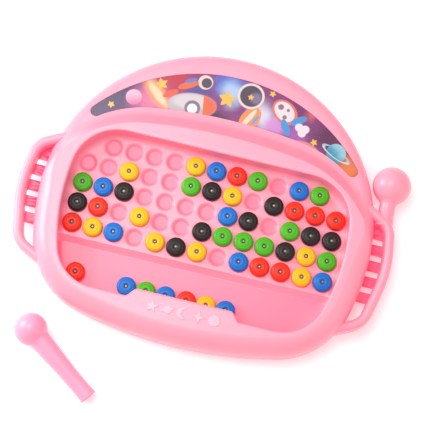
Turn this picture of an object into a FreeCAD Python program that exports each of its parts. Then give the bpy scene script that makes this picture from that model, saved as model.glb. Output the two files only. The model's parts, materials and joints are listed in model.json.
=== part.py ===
import FreeCAD, Part
import math
import os

# Bead picking board in the outline of a space helmet, with fifty cored beads and a loose magnet pen.
# Units are millimetres. X runs across the board, Y towards the crown, Z up from the table.
# The origin is on the table, below the middle socket of the bead field.

DOC = FreeCAD.newDocument("BeadBoard")
SHEET = DOC.addObject("Spreadsheet::Sheet", "Sizes")

SIZES = {
    # bead field
    "bead_space": 1.5, "field_z": 15, "field_floor": 3.5,
    "bead_ledge": 0.8, "socket_depth": 1.8, "socket_round": 0.7,
    # beads
    "bead_diameter": 15, "bead_height": 6, "bead_gap": 0.12,
    "boss_slack": 0.5, "boss_height": 1.6, "bead_round": 1.9,
    "core_diameter": 3, "core_head_diameter": 4.2, "core_head_height": 1.2, "core_recess": 0.5,
    "groove_inset": 2.1, "groove_width": 0.7, "groove_depth": 0.25,
    # loose beads in the trough
    "loose_gap": 0.4, "loose_rest": 1.3, "corner_in": 15.5, "corner_back": 1.8,
    # room around the field, and the trough in front of it
    "side_margin": 3.5, "back_margin": 3.6, "step_gap": 2.5, "step_run": 4.5,
    "trough_run": 33.2, "trough_z": 9.5, "trough_floor": 2, "floor_round": 3,
    # opening of the frame
    "opening_side_round": 170, "opening_middle": -8, "opening_back_round": 36,
    "opening_front_round": 34, "lip_thickness": 4, "lip_cover": 1,
    # tray walls
    "tray_wall": 2.2, "tray_clearance": 0.2, "tray_front_round": 24,
    # outline of the helmet
    "frame_side": 20.5, "lip_depth": 26.3, "crown_middle": -4, "side_round": 200,
    "side_sweep": 14, "corner_round": 62,
    # heights of the shells
    "base_z": 1.5, "split_z": 12, "arch_top": 24, "rim_top": 31,
    "arch_round": 7, "rim_round": 9, "base_round": 4, "shell_wall": 3.2, "base_floor": 2.5,
    # brow slope behind the opening
    "brow_depth": 14.1, "slope_run": 15.5, "crease_round": 420, "slope_round": 400,
    "brow_sweep": 8.5, "crease_overrun": 3.9, "slope_overrun": 7,
    # crescent picture panel
    "arch_band": 17.7, "picture_round_extra": 7.3, "picture_tip_round": 4.5,
    "picture_thickness": 1, "picture_clearance": 0.15,
    # tab over the trough and the raised symbols on the lip
    "tab_half_width": 37.5, "tab_slant": 6.5, "tab_reach": 7.1,
    "symbol_size": 10, "symbol_height": 0.5, "symbol_pitch": 12, "symbol_inset": 18,
    "symbol_shift": 1.5,
    # handles
    "handle_bar": 7.8, "handle_bottom": 7, "handle_top": 23,
    "handle_round": 3.4, "rib_top": 10, "rib_gap": 4.6, "rib_pitch": 12.9, "first_gap": 9.2,
    # antenna
    "ball_diameter": 30, "antenna_out": 5, "ball_back": 54.5, "ball_clear": 0.5,
    "neck_diameter": 12.6, "neck_end": 23, "plug_diameter": 6, "plug_end": 21,
    # screws and bosses
    "boss_post": 7, "screw_shank": 2.6, "screw_slack": 0.6, "screw_head": 5.2,
    "screw_head_height": 2, "screw_length": 14, "head_slack": 1.2, "head_seat": 2.5,
    "crown_screw_inset": 14, "side_screw_inset": 9.5, "front_screw_inset": 13.5,
    # feet, centre pad and tray posts
    "pad_diameter": 40, "foot_diameter": 14, "foot_height": 2.7, "foot_inset": 45, "foot_back": 55,
    "foot_front": 70, "post_diameter": 6,
    # pen
    "pen_head": 25.5, "pen_reach": 68, "pen_neck": 16.6, "pen_waist": 12.8, "pen_tip": 13.6,
    "pen_recess_rim": 0.8, "pen_recess_depth": 1.2, "magnet_diameter": 6.6, "magnet_height": 8,
    "pen_inboard": 22.2, "pen_ahead": 13.1, "pen_turn": -35.5,
}

for row, (name, value) in enumerate(SIZES.items(), start=1):
    SHEET.set(f"A{row}", name)
    SHEET.set(f"B{row}", str(value))
    SHEET.setAlias(f"B{row}", name)
DOC.recompute()

COLUMNS = 13
# One letter a socket, front row first: r red, y yellow, g green, b blue, k black,
# a dot where the socket is empty and x where the corner has no socket.
FIELD = ["ryb.yky.brryb", "kr.y..kgggkyg", "gbk....bk.gkk", "..y..gky.krrr", "x....ybrg.bgx"]
COLOURS = {"r": "red", "y": "yellow", "g": "green", "b": "blue", "k": "black"}
# Loose beads in the trough: colour letter and place along the row, in beads to the right of the middle.
# A red one lies apart from them, in the left corner.
CORNER_BEAD = "r"
LOOSE = [("b", -3), ("g", -2), ("b", -1), ("r", 0.06), ("y", 1.06), ("b", 2.06)]
# Right handle, as X beyond the side of the helmet, Y, and corner radius. The first two corners are inside.
HANDLE = [(-18.5, 40.5, 2), (-20.5, -74, 2), (8.5, -59.5, 22), (18.7, -13.4, 95), (13.5, 23.5, 20)]
# Degrees round from the X axis at which the screws stand.
CROWN_SCREWS = (43, 73)
SIDE_SCREW = 4
FRONT_SCREW = 9


def size(name):
    """A driving dimension, read from the sheet."""
    return float(SHEET.get(name))


def vector(x, y, z=0.0):
    return FreeCAD.Vector(x, y, z)


def cosine(angle):
    return math.cos(math.radians(angle))


def sine(angle):
    return math.sin(math.radians(angle))


# ---------------------------------------------------------------- lengths that follow from the sheet

def pitch():
    """From the middle of one bead in the field to the next."""
    return size("bead_diameter") + size("bead_space")


def socket_radius():
    return size("bead_diameter") / 2 - size("bead_ledge")


def boss_radius():
    return socket_radius() - size("boss_slack")


def bead_reach():
    """From the middle of the field to the outer edge of the last bead in a column."""
    return (len(FIELD) - 1) / 2 * pitch() + size("bead_diameter") / 2


def opening_half():
    return (COLUMNS - 1) / 2 * pitch() + size("bead_diameter") / 2 + size("side_margin")


def opening_back():
    return bead_reach() + size("back_margin")


def step_back():
    """Y of the top edge of the step from the field down to the trough."""
    return -(bead_reach() + size("step_gap"))


def step_front():
    return step_back() - size("step_run")


def opening_front():
    return -step_front() + size("trough_run")


def half_width():
    return opening_half() + size("frame_side")


def front():
    return opening_front() + size("lip_depth")


def crown_top():
    return size("crown_middle") + half_width()


def antenna_z():
    return size("ball_diameter") / 2 + size("ball_clear")


# ---------------------------------------------------------------- outlines

def arc(x, y, radius, start, end):
    """Arc about (x, y) from one angle to another, in degrees."""
    angles = (start, (start + end) / 2, end)
    points = [vector(x + radius * cosine(a), y + radius * sine(a)) for a in angles]
    return Part.Arc(*points).toShape()


def line(x1, y1, x2, y2):
    return Part.LineSegment(vector(x1, y1), vector(x2, y2)).toShape()


def polygon(points):
    return Part.makePolygon([vector(*p) for p in points] + [vector(*points[0])])


def belly():
    """Radius and half sweep of the front arc, and the middle of the lower right corner arc."""
    side, corner = size("side_round"), size("corner_round")
    sweep = size("side_sweep")
    x = half_width() - side + (side - corner) * cosine(sweep)
    y = size("crown_middle") - (side - corner) * sine(sweep)
    half_sweep = 2 * math.degrees(math.atan2(y + front() - corner, x))
    return corner + x / sine(half_sweep), half_sweep, x, y


def helmet(inset=0.0):
    """Crown, sides, lower corners and front: six tangent arcs, moved in by inset."""
    sweep = size("side_sweep")
    side = size("side_round") - inset
    corner = size("corner_round") - inset
    side_x = half_width() - size("side_round")
    crown_y = size("crown_middle")
    radius, half_sweep, x, y = belly()
    return Part.Wire([
        arc(0, crown_y, half_width() - inset, 0, 180),
        arc(-side_x, crown_y, side, 180, 180 + sweep),
        arc(-x, y, corner, 180 + sweep, 270 - half_sweep),
        arc(0, radius - front(), radius - inset, 270 - half_sweep, 270 + half_sweep),
        arc(x, y, corner, 270 + half_sweep, 360 - sweep),
        arc(side_x, crown_y, side, 360 - sweep, 360),
    ])


def visor(grow, front_round):
    """Outline of the opening, moved out by grow: straight back and front, bowed sides."""
    side = size("opening_side_round") + grow
    side_x = opening_half() - size("opening_side_round")
    side_y = size("opening_middle")
    back_round = size("opening_back_round") + grow
    back_y = opening_back() + grow - back_round
    front_y = front_round - opening_front() - grow
    back_x = side_x + math.sqrt((side - back_round) ** 2 - (back_y - side_y) ** 2)
    front_x = side_x + math.sqrt((side - front_round) ** 2 - (front_y - side_y) ** 2)
    up = math.degrees(math.atan2(back_y - side_y, back_x - side_x))
    down = math.degrees(math.atan2(front_y - side_y, front_x - side_x))
    back, near = back_y + back_round, front_y - front_round
    return Part.Wire([
        arc(side_x, side_y, side, down, up),
        arc(back_x, back_y, back_round, up, 90),
        line(back_x, back, -back_x, back),
        arc(-back_x, back_y, back_round, 90, 180 - up),
        arc(-side_x, side_y, side, 180 - up, 180 - down),
        arc(-front_x, front_y, front_round, 180 - down, 270),
        line(-front_x, near, front_x, near),
        arc(front_x, front_y, front_round, 270, 360 + down),
    ])


def opening(grow=0.0):
    return visor(grow, size("opening_front_round") + grow)


def tray_outline(grow=0.0):
    return visor(size("lip_cover") + grow, size("tray_front_round") + grow)


def shoulder(top, middle, overrun):
    """Radius and middle of the arc that runs on from a brow line past the side of the helmet."""
    sweep = size("brow_sweep")
    radius = (half_width() + overrun - middle * sine(sweep)) / (1 - sine(sweep))
    x = (middle - radius) * sine(sweep)
    y = top - middle + (middle - radius) * cosine(sweep)
    return radius, x, y


def crease_top():
    return opening_back() + size("brow_depth")


def slope_bottom():
    return crease_top() + size("slope_run")


def region_behind(top, middle, overrun):
    """Everything behind a brow line, out past the crown."""
    sweep = size("brow_sweep")
    radius, x, y = shoulder(top, middle, overrun)
    far = 1.4 * half_width()
    return Part.Wire([
        arc(x, y, radius, 0, 90 - sweep),
        arc(0, top - middle, middle, 90 - sweep, 90 + sweep),
        arc(-x, y, radius, 90 + sweep, 180),
        line(-x - radius, y, -far, y),
        line(-far, y, -far, far),
        line(-far, far, far, far),
        line(far, far, far, y),
        line(far, y, x + radius, y),
    ])


def crescent(inset=0.0):
    """The picture panel: crown-side arc, brow-side arcs and two round tips."""
    sweep = size("brow_sweep")
    outer = half_width() + size("picture_round_extra") - inset
    outer_y = crown_top() - size("arch_band") - inset - outer
    tip = size("picture_tip_round") - inset
    middle = size("slope_round")
    radius, x, y = shoulder(slope_bottom(), middle, size("slope_overrun"))
    a, b = outer - tip, radius + inset + tip
    span = math.hypot(x, y - outer_y)
    turn = math.acos((a * a + span * span - b * b) / (2 * a * span))
    outer_end = math.degrees(math.atan2(y - outer_y, x) + turn)
    tip_x, tip_y = a * cosine(outer_end), outer_y + a * sine(outer_end)
    lower_end = math.degrees(math.atan2(tip_y - y, tip_x - x))
    return Part.Wire([
        arc(0, outer_y, outer, outer_end, 180 - outer_end),
        arc(-tip_x, tip_y, tip, 180 - outer_end, 360 - lower_end),
        arc(-x, y, radius + inset, 180 - lower_end, 90 + sweep),
        arc(0, slope_bottom() - middle, middle + inset, 90 + sweep, 90 - sweep),
        arc(x, y, radius + inset, 90 - sweep, lower_end),
        arc(tip_x, tip_y, tip, 180 + lower_end, 360 + outer_end),
    ])


def rounded(corners):
    """Closed outline through corners given as (x, y, radius), each rounded by its radius."""
    edges = []
    previous_end = None
    first_start = None
    for index, (x, y, radius) in enumerate(corners):
        here = vector(x, y)
        before = vector(*corners[index - 1][:2]) - here
        after = vector(*corners[(index + 1) % len(corners)][:2]) - here
        half = before.getAngle(after) / 2
        run = radius / math.tan(half)
        before.normalize()
        after.normalize()
        start, end = here + before * run, here + after * run
        bisector = before + after
        bisector.normalize()
        middle = here + bisector * (radius / math.sin(half) - radius)
        if previous_end is not None:
            edges.append(Part.LineSegment(previous_end, start).toShape())
        else:
            first_start = start
        edges.append(Part.Arc(start, middle, end).toShape())
        previous_end = end
    edges.append(Part.LineSegment(previous_end, first_start).toShape())
    return Part.Wire(edges)


def handle_outline():
    """The right handle, a bowed grip whose ends run into the side of the helmet."""
    return rounded([(half_width() + x, y, radius) for x, y, radius in HANDLE])


# ---------------------------------------------------------------- document objects

def feature(name, shape):
    made = DOC.addObject("Part::Feature", name)
    made.Shape = shape
    return made


def prism(name, wire, bottom, top):
    """Solid over a flat outline between two heights, each an expression on the sheet."""
    made = DOC.addObject("Part::Extrusion", name)
    made.Base = feature(name + "_outline", wire)
    made.DirMode = "Custom"
    made.Dir = vector(0, 0, 1)
    made.Solid = True
    made.setExpression("LengthFwd", f"({top}) - ({bottom})")
    made.setExpression("Placement.Base.z", bottom)
    return made


def post(name, diameter, bottom, top, x, y):
    """Upright cylinder at (x, y); its diameter and heights are expressions on the sheet."""
    made = DOC.addObject("Part::Cylinder", name)
    made.setExpression("Radius", f"({diameter}) / 2")
    made.setExpression("Height", f"({top}) - ({bottom})")
    made.Placement.Base = vector(x, y)
    made.setExpression("Placement.Base.z", bottom)
    return made


def join(name, parts):
    made = DOC.addObject("Part::MultiFuse", name)
    made.Shapes = parts
    made.Refine = True
    return made


def cut(name, base, tools):
    made = DOC.addObject("Part::Cut", name)
    made.Base = base
    made.Tool = tools[0] if len(tools) == 1 else group(name + "_tools", tools)
    return made


def overlap(name, first, second):
    made = DOC.addObject("Part::Common", name)
    made.Base = first
    made.Tool = second
    return made


def group(name, parts):
    made = DOC.addObject("Part::Compound", name)
    made.Links = parts
    return made


def mirrored(name, part):
    """The same piece on the other side of the YZ plane."""
    made = DOC.addObject("Part::Mirroring", name)
    made.Source = part
    made.Normal = vector(1, 0, 0)
    return made


def softened(name, part, radius, wanted):
    """Rounds every edge of a piece for which wanted(edge) is true."""
    DOC.recompute()
    made = DOC.addObject("Part::Fillet", name)
    made.Base = part
    edges = enumerate(part.Shape.Edges, start=1)
    made.Edges = [(index, radius, radius) for index, edge in edges if wanted(edge)]
    return made


def at_height(z):
    """Picks edges that lie flat at height z."""
    def wanted(edge):
        box = edge.BoundBox
        return abs(box.ZMin - z) < 1e-4 and abs(box.ZMax - z) < 1e-4
    return wanted


def turned(name, profile, angle=360):
    """Solid of revolution about Z from a closed profile of (radius, z) points."""
    points = [vector(r, 0, z) for r, z in profile]
    wire = Part.makePolygon(points + [points[0]])
    return feature(name, Part.Face(wire).revolve(vector(0, 0), vector(0, 0, 1), angle))


def placed(part, x, y, z=0.0):
    part.Placement.Base = vector(x, y, z)
    return part


# ---------------------------------------------------------------- where things stand

def screw_places():
    """Eight screws: four under the crown, one at each side and two at the front."""
    middle = size("crown_middle")
    crown = half_width() - size("crown_screw_inset")
    side = size("side_round") - size("side_screw_inset")
    side_x = half_width() - size("side_round")
    radius, _, _, _ = belly()
    near = radius - size("front_screw_inset")
    right = [(crown * cosine(a), middle + crown * sine(a)) for a in CROWN_SCREWS]
    right.append((side_x + side * cosine(SIDE_SCREW), middle - side * sine(SIDE_SCREW)))
    right.append((near * sine(FRONT_SCREW), radius - front() - near * cosine(FRONT_SCREW)))
    return right + [(-x, y) for x, y in right]


def foot_places():
    x = half_width() - size("foot_inset")
    return [(side * x, y) for side in (1, -1) for y in (size("foot_back"), -size("foot_front"))]


def post_places():
    """Four props under the tray, between sockets of the field."""
    x, y = 3.5 * pitch(), 1.5 * pitch()
    return [(x, y), (-x, y), (x, -y), (-x, -y)]


def sockets():
    """Middle of every socket in the field."""
    middle = (COLUMNS - 1) / 2
    centre = (len(FIELD) - 1) / 2
    for row, letters in enumerate(FIELD):
        for column, letter in enumerate(letters):
            if letter != "x":
                yield letter, (column - middle) * pitch(), (row - centre) * pitch()


# ---------------------------------------------------------------- shells

def handle_ring(name, bottom, top, rounded_height):
    """One half of the right handle, open in the middle."""
    outline = handle_outline()
    blank = prism(name + "_blank", outline, bottom, top)
    slot = prism(name + "_slot", outline.makeOffset2D(-size("handle_bar")), bottom, top)
    ring = cut(name + "_ring", blank, [slot])
    soft = softened(name + "_soft", ring, size("handle_round"), at_height(rounded_height))
    return soft


def screw_posts(name, bottom, top):
    posts = []
    for index, (x, y) in enumerate(screw_places(), start=1):
        posts.append(post(f"{name}_{index}", "Sizes.boss_post", bottom, top, x, y))
    return posts


def brow_cut():
    """What is taken away behind the brow: a slope down to the arch, open to the crown."""
    low = region_behind(slope_bottom(), size("slope_round"), size("slope_overrun"))
    high = region_behind(crease_top(), size("crease_round"), size("crease_overrun"))
    low.translate(vector(0, 0, size("arch_top")))
    high.translate(vector(0, 0, size("rim_top")))
    slope = Part.makeLoft([low, high], True, True)
    above = Part.Face(high).extrude(vector(0, 0, size("rim_round")))
    floor = size("arch_top") - size("split_z")
    low.translate(vector(0, 0, -floor))
    below = Part.Face(low).extrude(vector(0, 0, floor))
    return feature("brow_cut", slope.fuse([above, below]).removeSplitter())


def star(points, outer, inner):
    """Star outline about the origin, one tip towards +Y."""
    corners = []
    for index in range(2 * points):
        radius = outer if index % 2 == 0 else inner
        angle = 90 + 180 * index / points
        corners.append((radius * cosine(angle), radius * sine(angle)))
    return Part.Face(polygon(corners))


def disc(radius, x=0.0, y=0.0):
    return Part.Face(Part.Wire(Part.makeCircle(radius, vector(x, y))))


def symbols():
    """Five raised marks on the lip: star, planet with a ring, moon, four-pointed star and target."""
    half = size("symbol_size") / 2
    ring = Part.Face(Part.Wire(Part.Ellipse(vector(0, 0), half, half * 0.3).toShape()))
    ring.rotate(vector(0, 0), vector(0, 0, 1), 20)
    planet = disc(half * 0.62).fuse(ring).removeSplitter()
    moon = disc(half * 0.92).cut(disc(half * 0.8, half * 0.5, half * 0.2))
    target = disc(half * 0.9).cut(disc(half * 0.6)).fuse(disc(half * 0.28))
    marks = [star(5, half, half * 0.45), planet, moon, star(4, half, half * 0.36), target]
    y = -front() + size("symbol_inset") + half
    solids = []
    for index, mark in enumerate(marks):
        x = size("symbol_shift") + (index - 2) * size("symbol_pitch")
        mark.translate(vector(x, y, size("rim_top") - size("symbol_height")))
        solids.append(mark.extrude(vector(0, 0, 2 * size("symbol_height"))))
    return feature("symbols", Part.makeCompound(solids))


def upper_shell():
    """Frame round the opening, arch with the picture seat, and the upper halves of the handles."""
    arch = prism("arch", helmet(), "Sizes.split_z", "Sizes.arch_top")
    arch = softened("arch_soft", arch, size("arch_round"), at_height(size("arch_top")))
    frame = prism("frame", helmet(), "Sizes.split_z", "Sizes.rim_top")
    frame = softened("frame_soft", frame, size("rim_round"), at_height(size("rim_top")))
    frame = cut("frame_brow", frame, [brow_cut()])
    right = handle_ring("upper_handle", "Sizes.split_z", "Sizes.handle_top", size("handle_top"))
    left = mirrored("upper_handle_left", right)
    body = join("upper_body", [arch, frame, right, left])

    hollow = prism("hollow", helmet(size("shell_wall")), "Sizes.split_z",
                   "Sizes.arch_top - Sizes.picture_thickness - Sizes.shell_wall")
    wide = prism("rim_hollow_outer", helmet(size("rim_round")), "Sizes.split_z",
                 "Sizes.rim_top - Sizes.shell_wall")
    seat_wall = size("tray_wall") + size("tray_clearance") + size("shell_wall")
    narrow = prism("rim_hollow_inner", tray_outline(seat_wall), "Sizes.split_z", "Sizes.rim_top")
    front_half = feature("front_half", Part.makeBox(
        3 * half_width(), 1.5 * front(), size("rim_top"),
        vector(-1.5 * half_width(), size("opening_middle") - 1.5 * front(), 0)))
    rim_hollow = overlap("rim_hollow", cut("rim_ring", wide, [narrow]), front_half)
    posts = screw_posts("upper_post", "Sizes.split_z", "Sizes.rim_top - Sizes.shell_wall")
    hollows = cut("hollows", join("all_hollows", [hollow, rim_hollow]), [group("upper_posts", posts)])

    seat = prism("tray_seat", tray_outline(size("tray_wall") + size("tray_clearance")),
                 "Sizes.split_z", "Sizes.rim_top - Sizes.lip_thickness")
    mouth = prism("mouth", opening(), "Sizes.split_z", "Sizes.rim_top + 1")
    picture_seat = prism("picture_seat", crescent(),
                         "Sizes.arch_top - Sizes.picture_thickness", "Sizes.rim_top + 1")
    pilots = []
    for index, (x, y) in enumerate(screw_places(), start=1):
        top = "Sizes.base_z + Sizes.head_seat + Sizes.screw_length"
        pilots.append(post(f"pilot_{index}", "Sizes.screw_shank", "Sizes.split_z", top, x, y))
    socket = DOC.addObject("Part::Cylinder", "antenna_socket")
    socket.setExpression("Radius", "Sizes.plug_diameter / 2")
    socket.Height = size("ball_back") - size("plug_end")
    socket.Placement = FreeCAD.Placement(
        vector(half_width() + size("antenna_out"), size("ball_back"), antenna_z()),
        FreeCAD.Rotation(vector(1, 0, 0), 90))
    tools = [hollows, seat, mouth, picture_seat, group("pilots", pilots), socket]
    shell = cut("upper_open", body, tools)

    half, reach = size("tab_half_width"), size("tab_reach")
    edge = -opening_front()
    tab = prism("tab", polygon([(-half - size("tab_slant"), edge - 1), (half + size("tab_slant"), edge - 1),
                                (half, edge + reach), (-half, edge + reach)]),
                "Sizes.rim_top - Sizes.lip_thickness", "Sizes.rim_top")
    whole = join("upper_shell", [shell, tab, symbols()])
    return whole


def lower_shell():
    """Base pan with screw posts, foot wells, tray props and the ribbed lower handle halves."""
    pan = prism("pan", helmet(), "Sizes.base_z", "Sizes.split_z")
    pan = softened("pan_soft", pan, size("base_round"), at_height(size("base_z")))
    right = handle_ring("lower_handle", "Sizes.handle_bottom", "Sizes.split_z", size("handle_bottom"))
    web_length = size("rib_pitch") - size("rib_gap")
    webs = []
    for index in range(5):
        top = size("first_gap") + size("rib_gap") / 2 + web_length - index * size("rib_pitch")
        length = web_length
        if index == 0:
            top = top + web_length
            length = 2 * web_length
        web = DOC.addObject("Part::Box", f"rib_{index + 1}")
        web.Length = max(x for x, _, _ in HANDLE) + 10
        web.Width = length
        web.setExpression("Height", "Sizes.rib_top - Sizes.handle_bottom")
        web.Placement.Base = vector(half_width() - 10, top - length)
        web.setExpression("Placement.Base.z", "Sizes.handle_bottom")
        webs.append(web)
    inside = prism("rib_limit", handle_outline().makeOffset2D(-size("handle_bar") / 2),
                   "Sizes.handle_bottom", "Sizes.split_z")
    ribs = overlap("ribs", group("rib_boxes", webs), inside)
    left = mirrored("lower_handle_left", right)
    left_ribs = mirrored("ribs_left", ribs)
    pad = post("centre_pad", "Sizes.pad_diameter", "0", "Sizes.base_z + Sizes.base_floor / 2", 0, 0)
    body = join("lower_body", [pan, pad, right, ribs, left, left_ribs])

    hollow = prism("pan_hollow", helmet(size("shell_wall")),
                   "Sizes.base_z + Sizes.base_floor", "Sizes.split_z")
    posts = screw_posts("lower_post", "Sizes.base_z", "Sizes.split_z")
    for index, (x, y) in enumerate(post_places(), start=1):
        posts.append(post(f"prop_{index}", "Sizes.post_diameter", "Sizes.base_z",
                          "Sizes.field_z - Sizes.field_floor", x, y))
    hollow = cut("pan_room", hollow, [group("lower_posts", posts)])
    tools = [hollow]
    for index, (x, y) in enumerate(screw_places(), start=1):
        tools.append(post(f"screw_hole_{index}", "Sizes.screw_shank + Sizes.screw_slack",
                          "0", "Sizes.split_z", x, y))
        tools.append(post(f"head_recess_{index}", "Sizes.screw_head + Sizes.head_slack",
                          "0", "Sizes.base_z + Sizes.head_seat", x, y))
    for index, (x, y) in enumerate(foot_places(), start=1):
        tools.append(post(f"foot_well_{index}", "Sizes.foot_diameter", "0", "Sizes.foot_height", x, y))
    return cut("lower_shell", body, tools)


def bead_tray():
    """Tray with the socketed field, the step and the trough, walled up to the lip."""
    wall_top = "Sizes.rim_top - Sizes.lip_thickness"
    block = prism("tray_block", tray_outline(size("tray_wall")), "0", wall_top)
    room = prism("tray_room", tray_outline(), "0", wall_top + " + 5")
    far = 2 * front()
    wide = 3 * half_width()
    top = size("rim_top")

    def side_profile(name, drop_field, drop_trough, low):
        """Everything above the stepped floor line, seen from the side and drawn out along X."""
        field, trough = size("field_z") - drop_field, size("trough_z") - drop_trough
        points = [(-far, trough), (step_front() - drop_trough * low, trough),
                  (step_back() - drop_field * low, field), (far, field), (far, 2 * top), (-far, 2 * top)]
        wire = Part.makePolygon([vector(-wide / 2, y, z) for y, z in points + points[:1]])
        return feature(name, Part.Face(wire).extrude(vector(wide, 0, 0)))

    outside = side_profile("below_floor", size("field_floor"), size("trough_floor"), -0.4)
    inside = side_profile("above_floor", 0, 0, 0)
    block = overlap("tray_blank", block, outside)
    room = overlap("tray_hollow", room, inside)
    soft = softened("tray_hollow_soft", room, size("floor_round"), floor_edge)
    radius, depth, soften = socket_radius(), size("socket_depth"), size("socket_round")
    bottom = size("field_z") - depth
    cutter = Part.makeCylinder(radius, depth + 1, vector(0, 0, bottom))
    flare = Part.makeCone(radius, radius + 2 * soften, 2 * soften, vector(0, 0, size("field_z") - soften))
    cutter = cutter.fuse(flare).removeSplitter()
    places = [cutter.translated(vector(x, y)) for _, x, y in sockets()]
    dimples = feature("socket_cutters", Part.makeCompound(places))
    return cut("bead_tray", block, [soft, dimples])


def floor_edge(edge):
    """Picks the edges where the trough floor meets the tray wall, not the foot of the step."""
    on_floor = at_height(size("trough_z"))(edge)
    return on_floor and edge.BoundBox.YMin < step_front() - 1e-3


def picture_panel():
    return prism("picture_panel", crescent(size("picture_clearance")),
                 "Sizes.arch_top - Sizes.picture_thickness", "Sizes.arch_top - 0.2")


# ---------------------------------------------------------------- antenna, screws, feet

def antenna(shells):
    """Ball on a neck that stands on the back corner of the right handle, with a plug into it."""
    ball = DOC.addObject("Part::Sphere", "ball")
    ball.setExpression("Radius", "Sizes.ball_diameter / 2")
    x, y, z = half_width() + size("antenna_out"), size("ball_back"), antenna_z()
    ball.Placement.Base = vector(x, y, z)
    turn = FreeCAD.Rotation(vector(1, 0, 0), 90)
    parts = [ball]
    for name, diameter, end in (("neck", "neck_diameter", "neck_end"), ("plug", "plug_diameter", "plug_end")):
        stem = DOC.addObject("Part::Cylinder", name)
        stem.setExpression("Radius", f"Sizes.{diameter} / 2")
        stem.setExpression("Height", f"Sizes.ball_back - Sizes.{end}")
        stem.Placement = FreeCAD.Placement(vector(x, y, z), turn)
        parts.append(stem)
    whole = join("antenna_blank", parts)
    return cut("antenna", whole, shells)


def case_screws():
    """Eight pan-head screws, driven up from below."""
    head, shank = size("screw_head") / 2, size("screw_shank") / 2
    seat = size("base_z") + size("head_seat")
    low, tip = seat - size("screw_head_height"), seat + size("screw_length")
    slot = 0.4
    profile = [(0, low + slot), (slot * 2, low + slot), (slot * 2, low), (head * 0.8, low),
               (head, low + slot * 2), (head, seat), (shank, seat), (shank, tip - 1.5), (0.4, tip), (0, tip)]
    screws = []
    for index, (x, y) in enumerate(screw_places(), start=1):
        screws.append(placed(turned(f"screw_{index}", profile), x, y))
    return group("case_screws", screws)


def rubber_feet():
    feet = []
    for index, (x, y) in enumerate(foot_places(), start=1):
        feet.append(post(f"foot_{index}", "Sizes.foot_diameter", "0", "Sizes.foot_height", x, y))
    return group("rubber_feet", feet)


# ---------------------------------------------------------------- beads

def bead_shape():
    """Plastic ring with a locating boss below and a groove above, and its steel core."""
    outer, boss = size("bead_diameter") / 2, boss_radius()
    top, step, soft = size("bead_height"), size("boss_height"), size("bead_round")
    core, head = size("core_diameter") / 2, size("core_head_diameter") / 2
    sunk = top - size("core_recess")
    shoulder_z = sunk - size("core_head_height")
    width, deep = size("groove_width"), size("groove_depth")
    groove = outer - size("groove_inset") - width

    def edge(*points):
        return Part.makePolygon([vector(r, 0, z) for r, z in points]).Edges

    crown = Part.Arc(vector(outer, 0, top - soft),
                     vector(outer - soft * (1 - cosine(45)), 0, top - soft * (1 - sine(45))),
                     vector(outer - soft, 0, top)).toShape()
    outline = edge((core, 0), (boss - 0.4, 0), (boss, 0.4), (boss, step), (outer - 0.3, step),
                   (outer, step + 0.3), (outer, top - soft))
    outline.append(crown)
    outline += edge((outer - soft, top), (groove + width, top), (groove + width / 2, top - deep),
                    (groove, top), (head + 0.5, top), (head, sunk), (head, shoulder_z),
                    (core, shoulder_z), (core, 0))
    axis = (vector(0, 0), vector(0, 0, 1), 360)
    ring = Part.Face(Part.Wire(outline)).revolve(*axis)
    pin = edge((0, 0), (core, 0), (core, shoulder_z), (head, shoulder_z), (head, sunk - 0.3),
               (head - 0.3, sunk), (0, sunk), (0, 0))
    pin = Part.Face(Part.Wire(pin)).revolve(*axis)
    return Part.makeCompound([ring, pin])


def beads():
    """Forty-three beads in the field and seven loose in the trough, numbered by colour."""
    places = []
    field = size("field_z") - size("boss_height") + size("bead_gap")
    trough = size("trough_z") + size("bead_gap")
    for letter, x, y in sockets():
        if letter != ".":
            places.append((letter, x, y, field))
    row_y = size("floor_round") + boss_radius() + size("loose_rest") - opening_front() - size("lip_cover")
    corner_x = size("corner_in") + size("bead_diameter") / 2 - opening_half()
    places.append((CORNER_BEAD, corner_x, row_y + size("corner_back"), trough))
    for letter, along in LOOSE:
        places.append((letter, along * (size("bead_diameter") + size("loose_gap")), row_y, trough))
    shape = bead_shape()
    count = dict.fromkeys(COLOURS, 0)
    made = []
    for letter, x, y, z in places:
        count[letter] += 1
        name = f"bead_{COLOURS[letter]}_{count[letter]:02d}"
        made.append(placed(feature(name, shape), x, y, z))
    return made


# ---------------------------------------------------------------- pen

def lay_down(part):
    """Stands the pen's axis down on the table, resting on its ball and on the rim of its tip."""
    ball, tip, reach = size("pen_head") / 2, size("pen_tip") / 2, size("pen_reach")
    dip = math.degrees(math.asin(ball / math.hypot(reach, tip)) - math.atan2(tip, reach))
    turn = FreeCAD.Rotation(vector(0, 0, 1), size("pen_turn"))
    tilt = FreeCAD.Rotation(vector(0, 1, 0), 90 + dip)
    place = vector(size("pen_inboard") - half_width(), -front() - size("pen_ahead"), ball)
    part.Placement = FreeCAD.Placement(place, turn.multiply(tilt))
    return part


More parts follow.
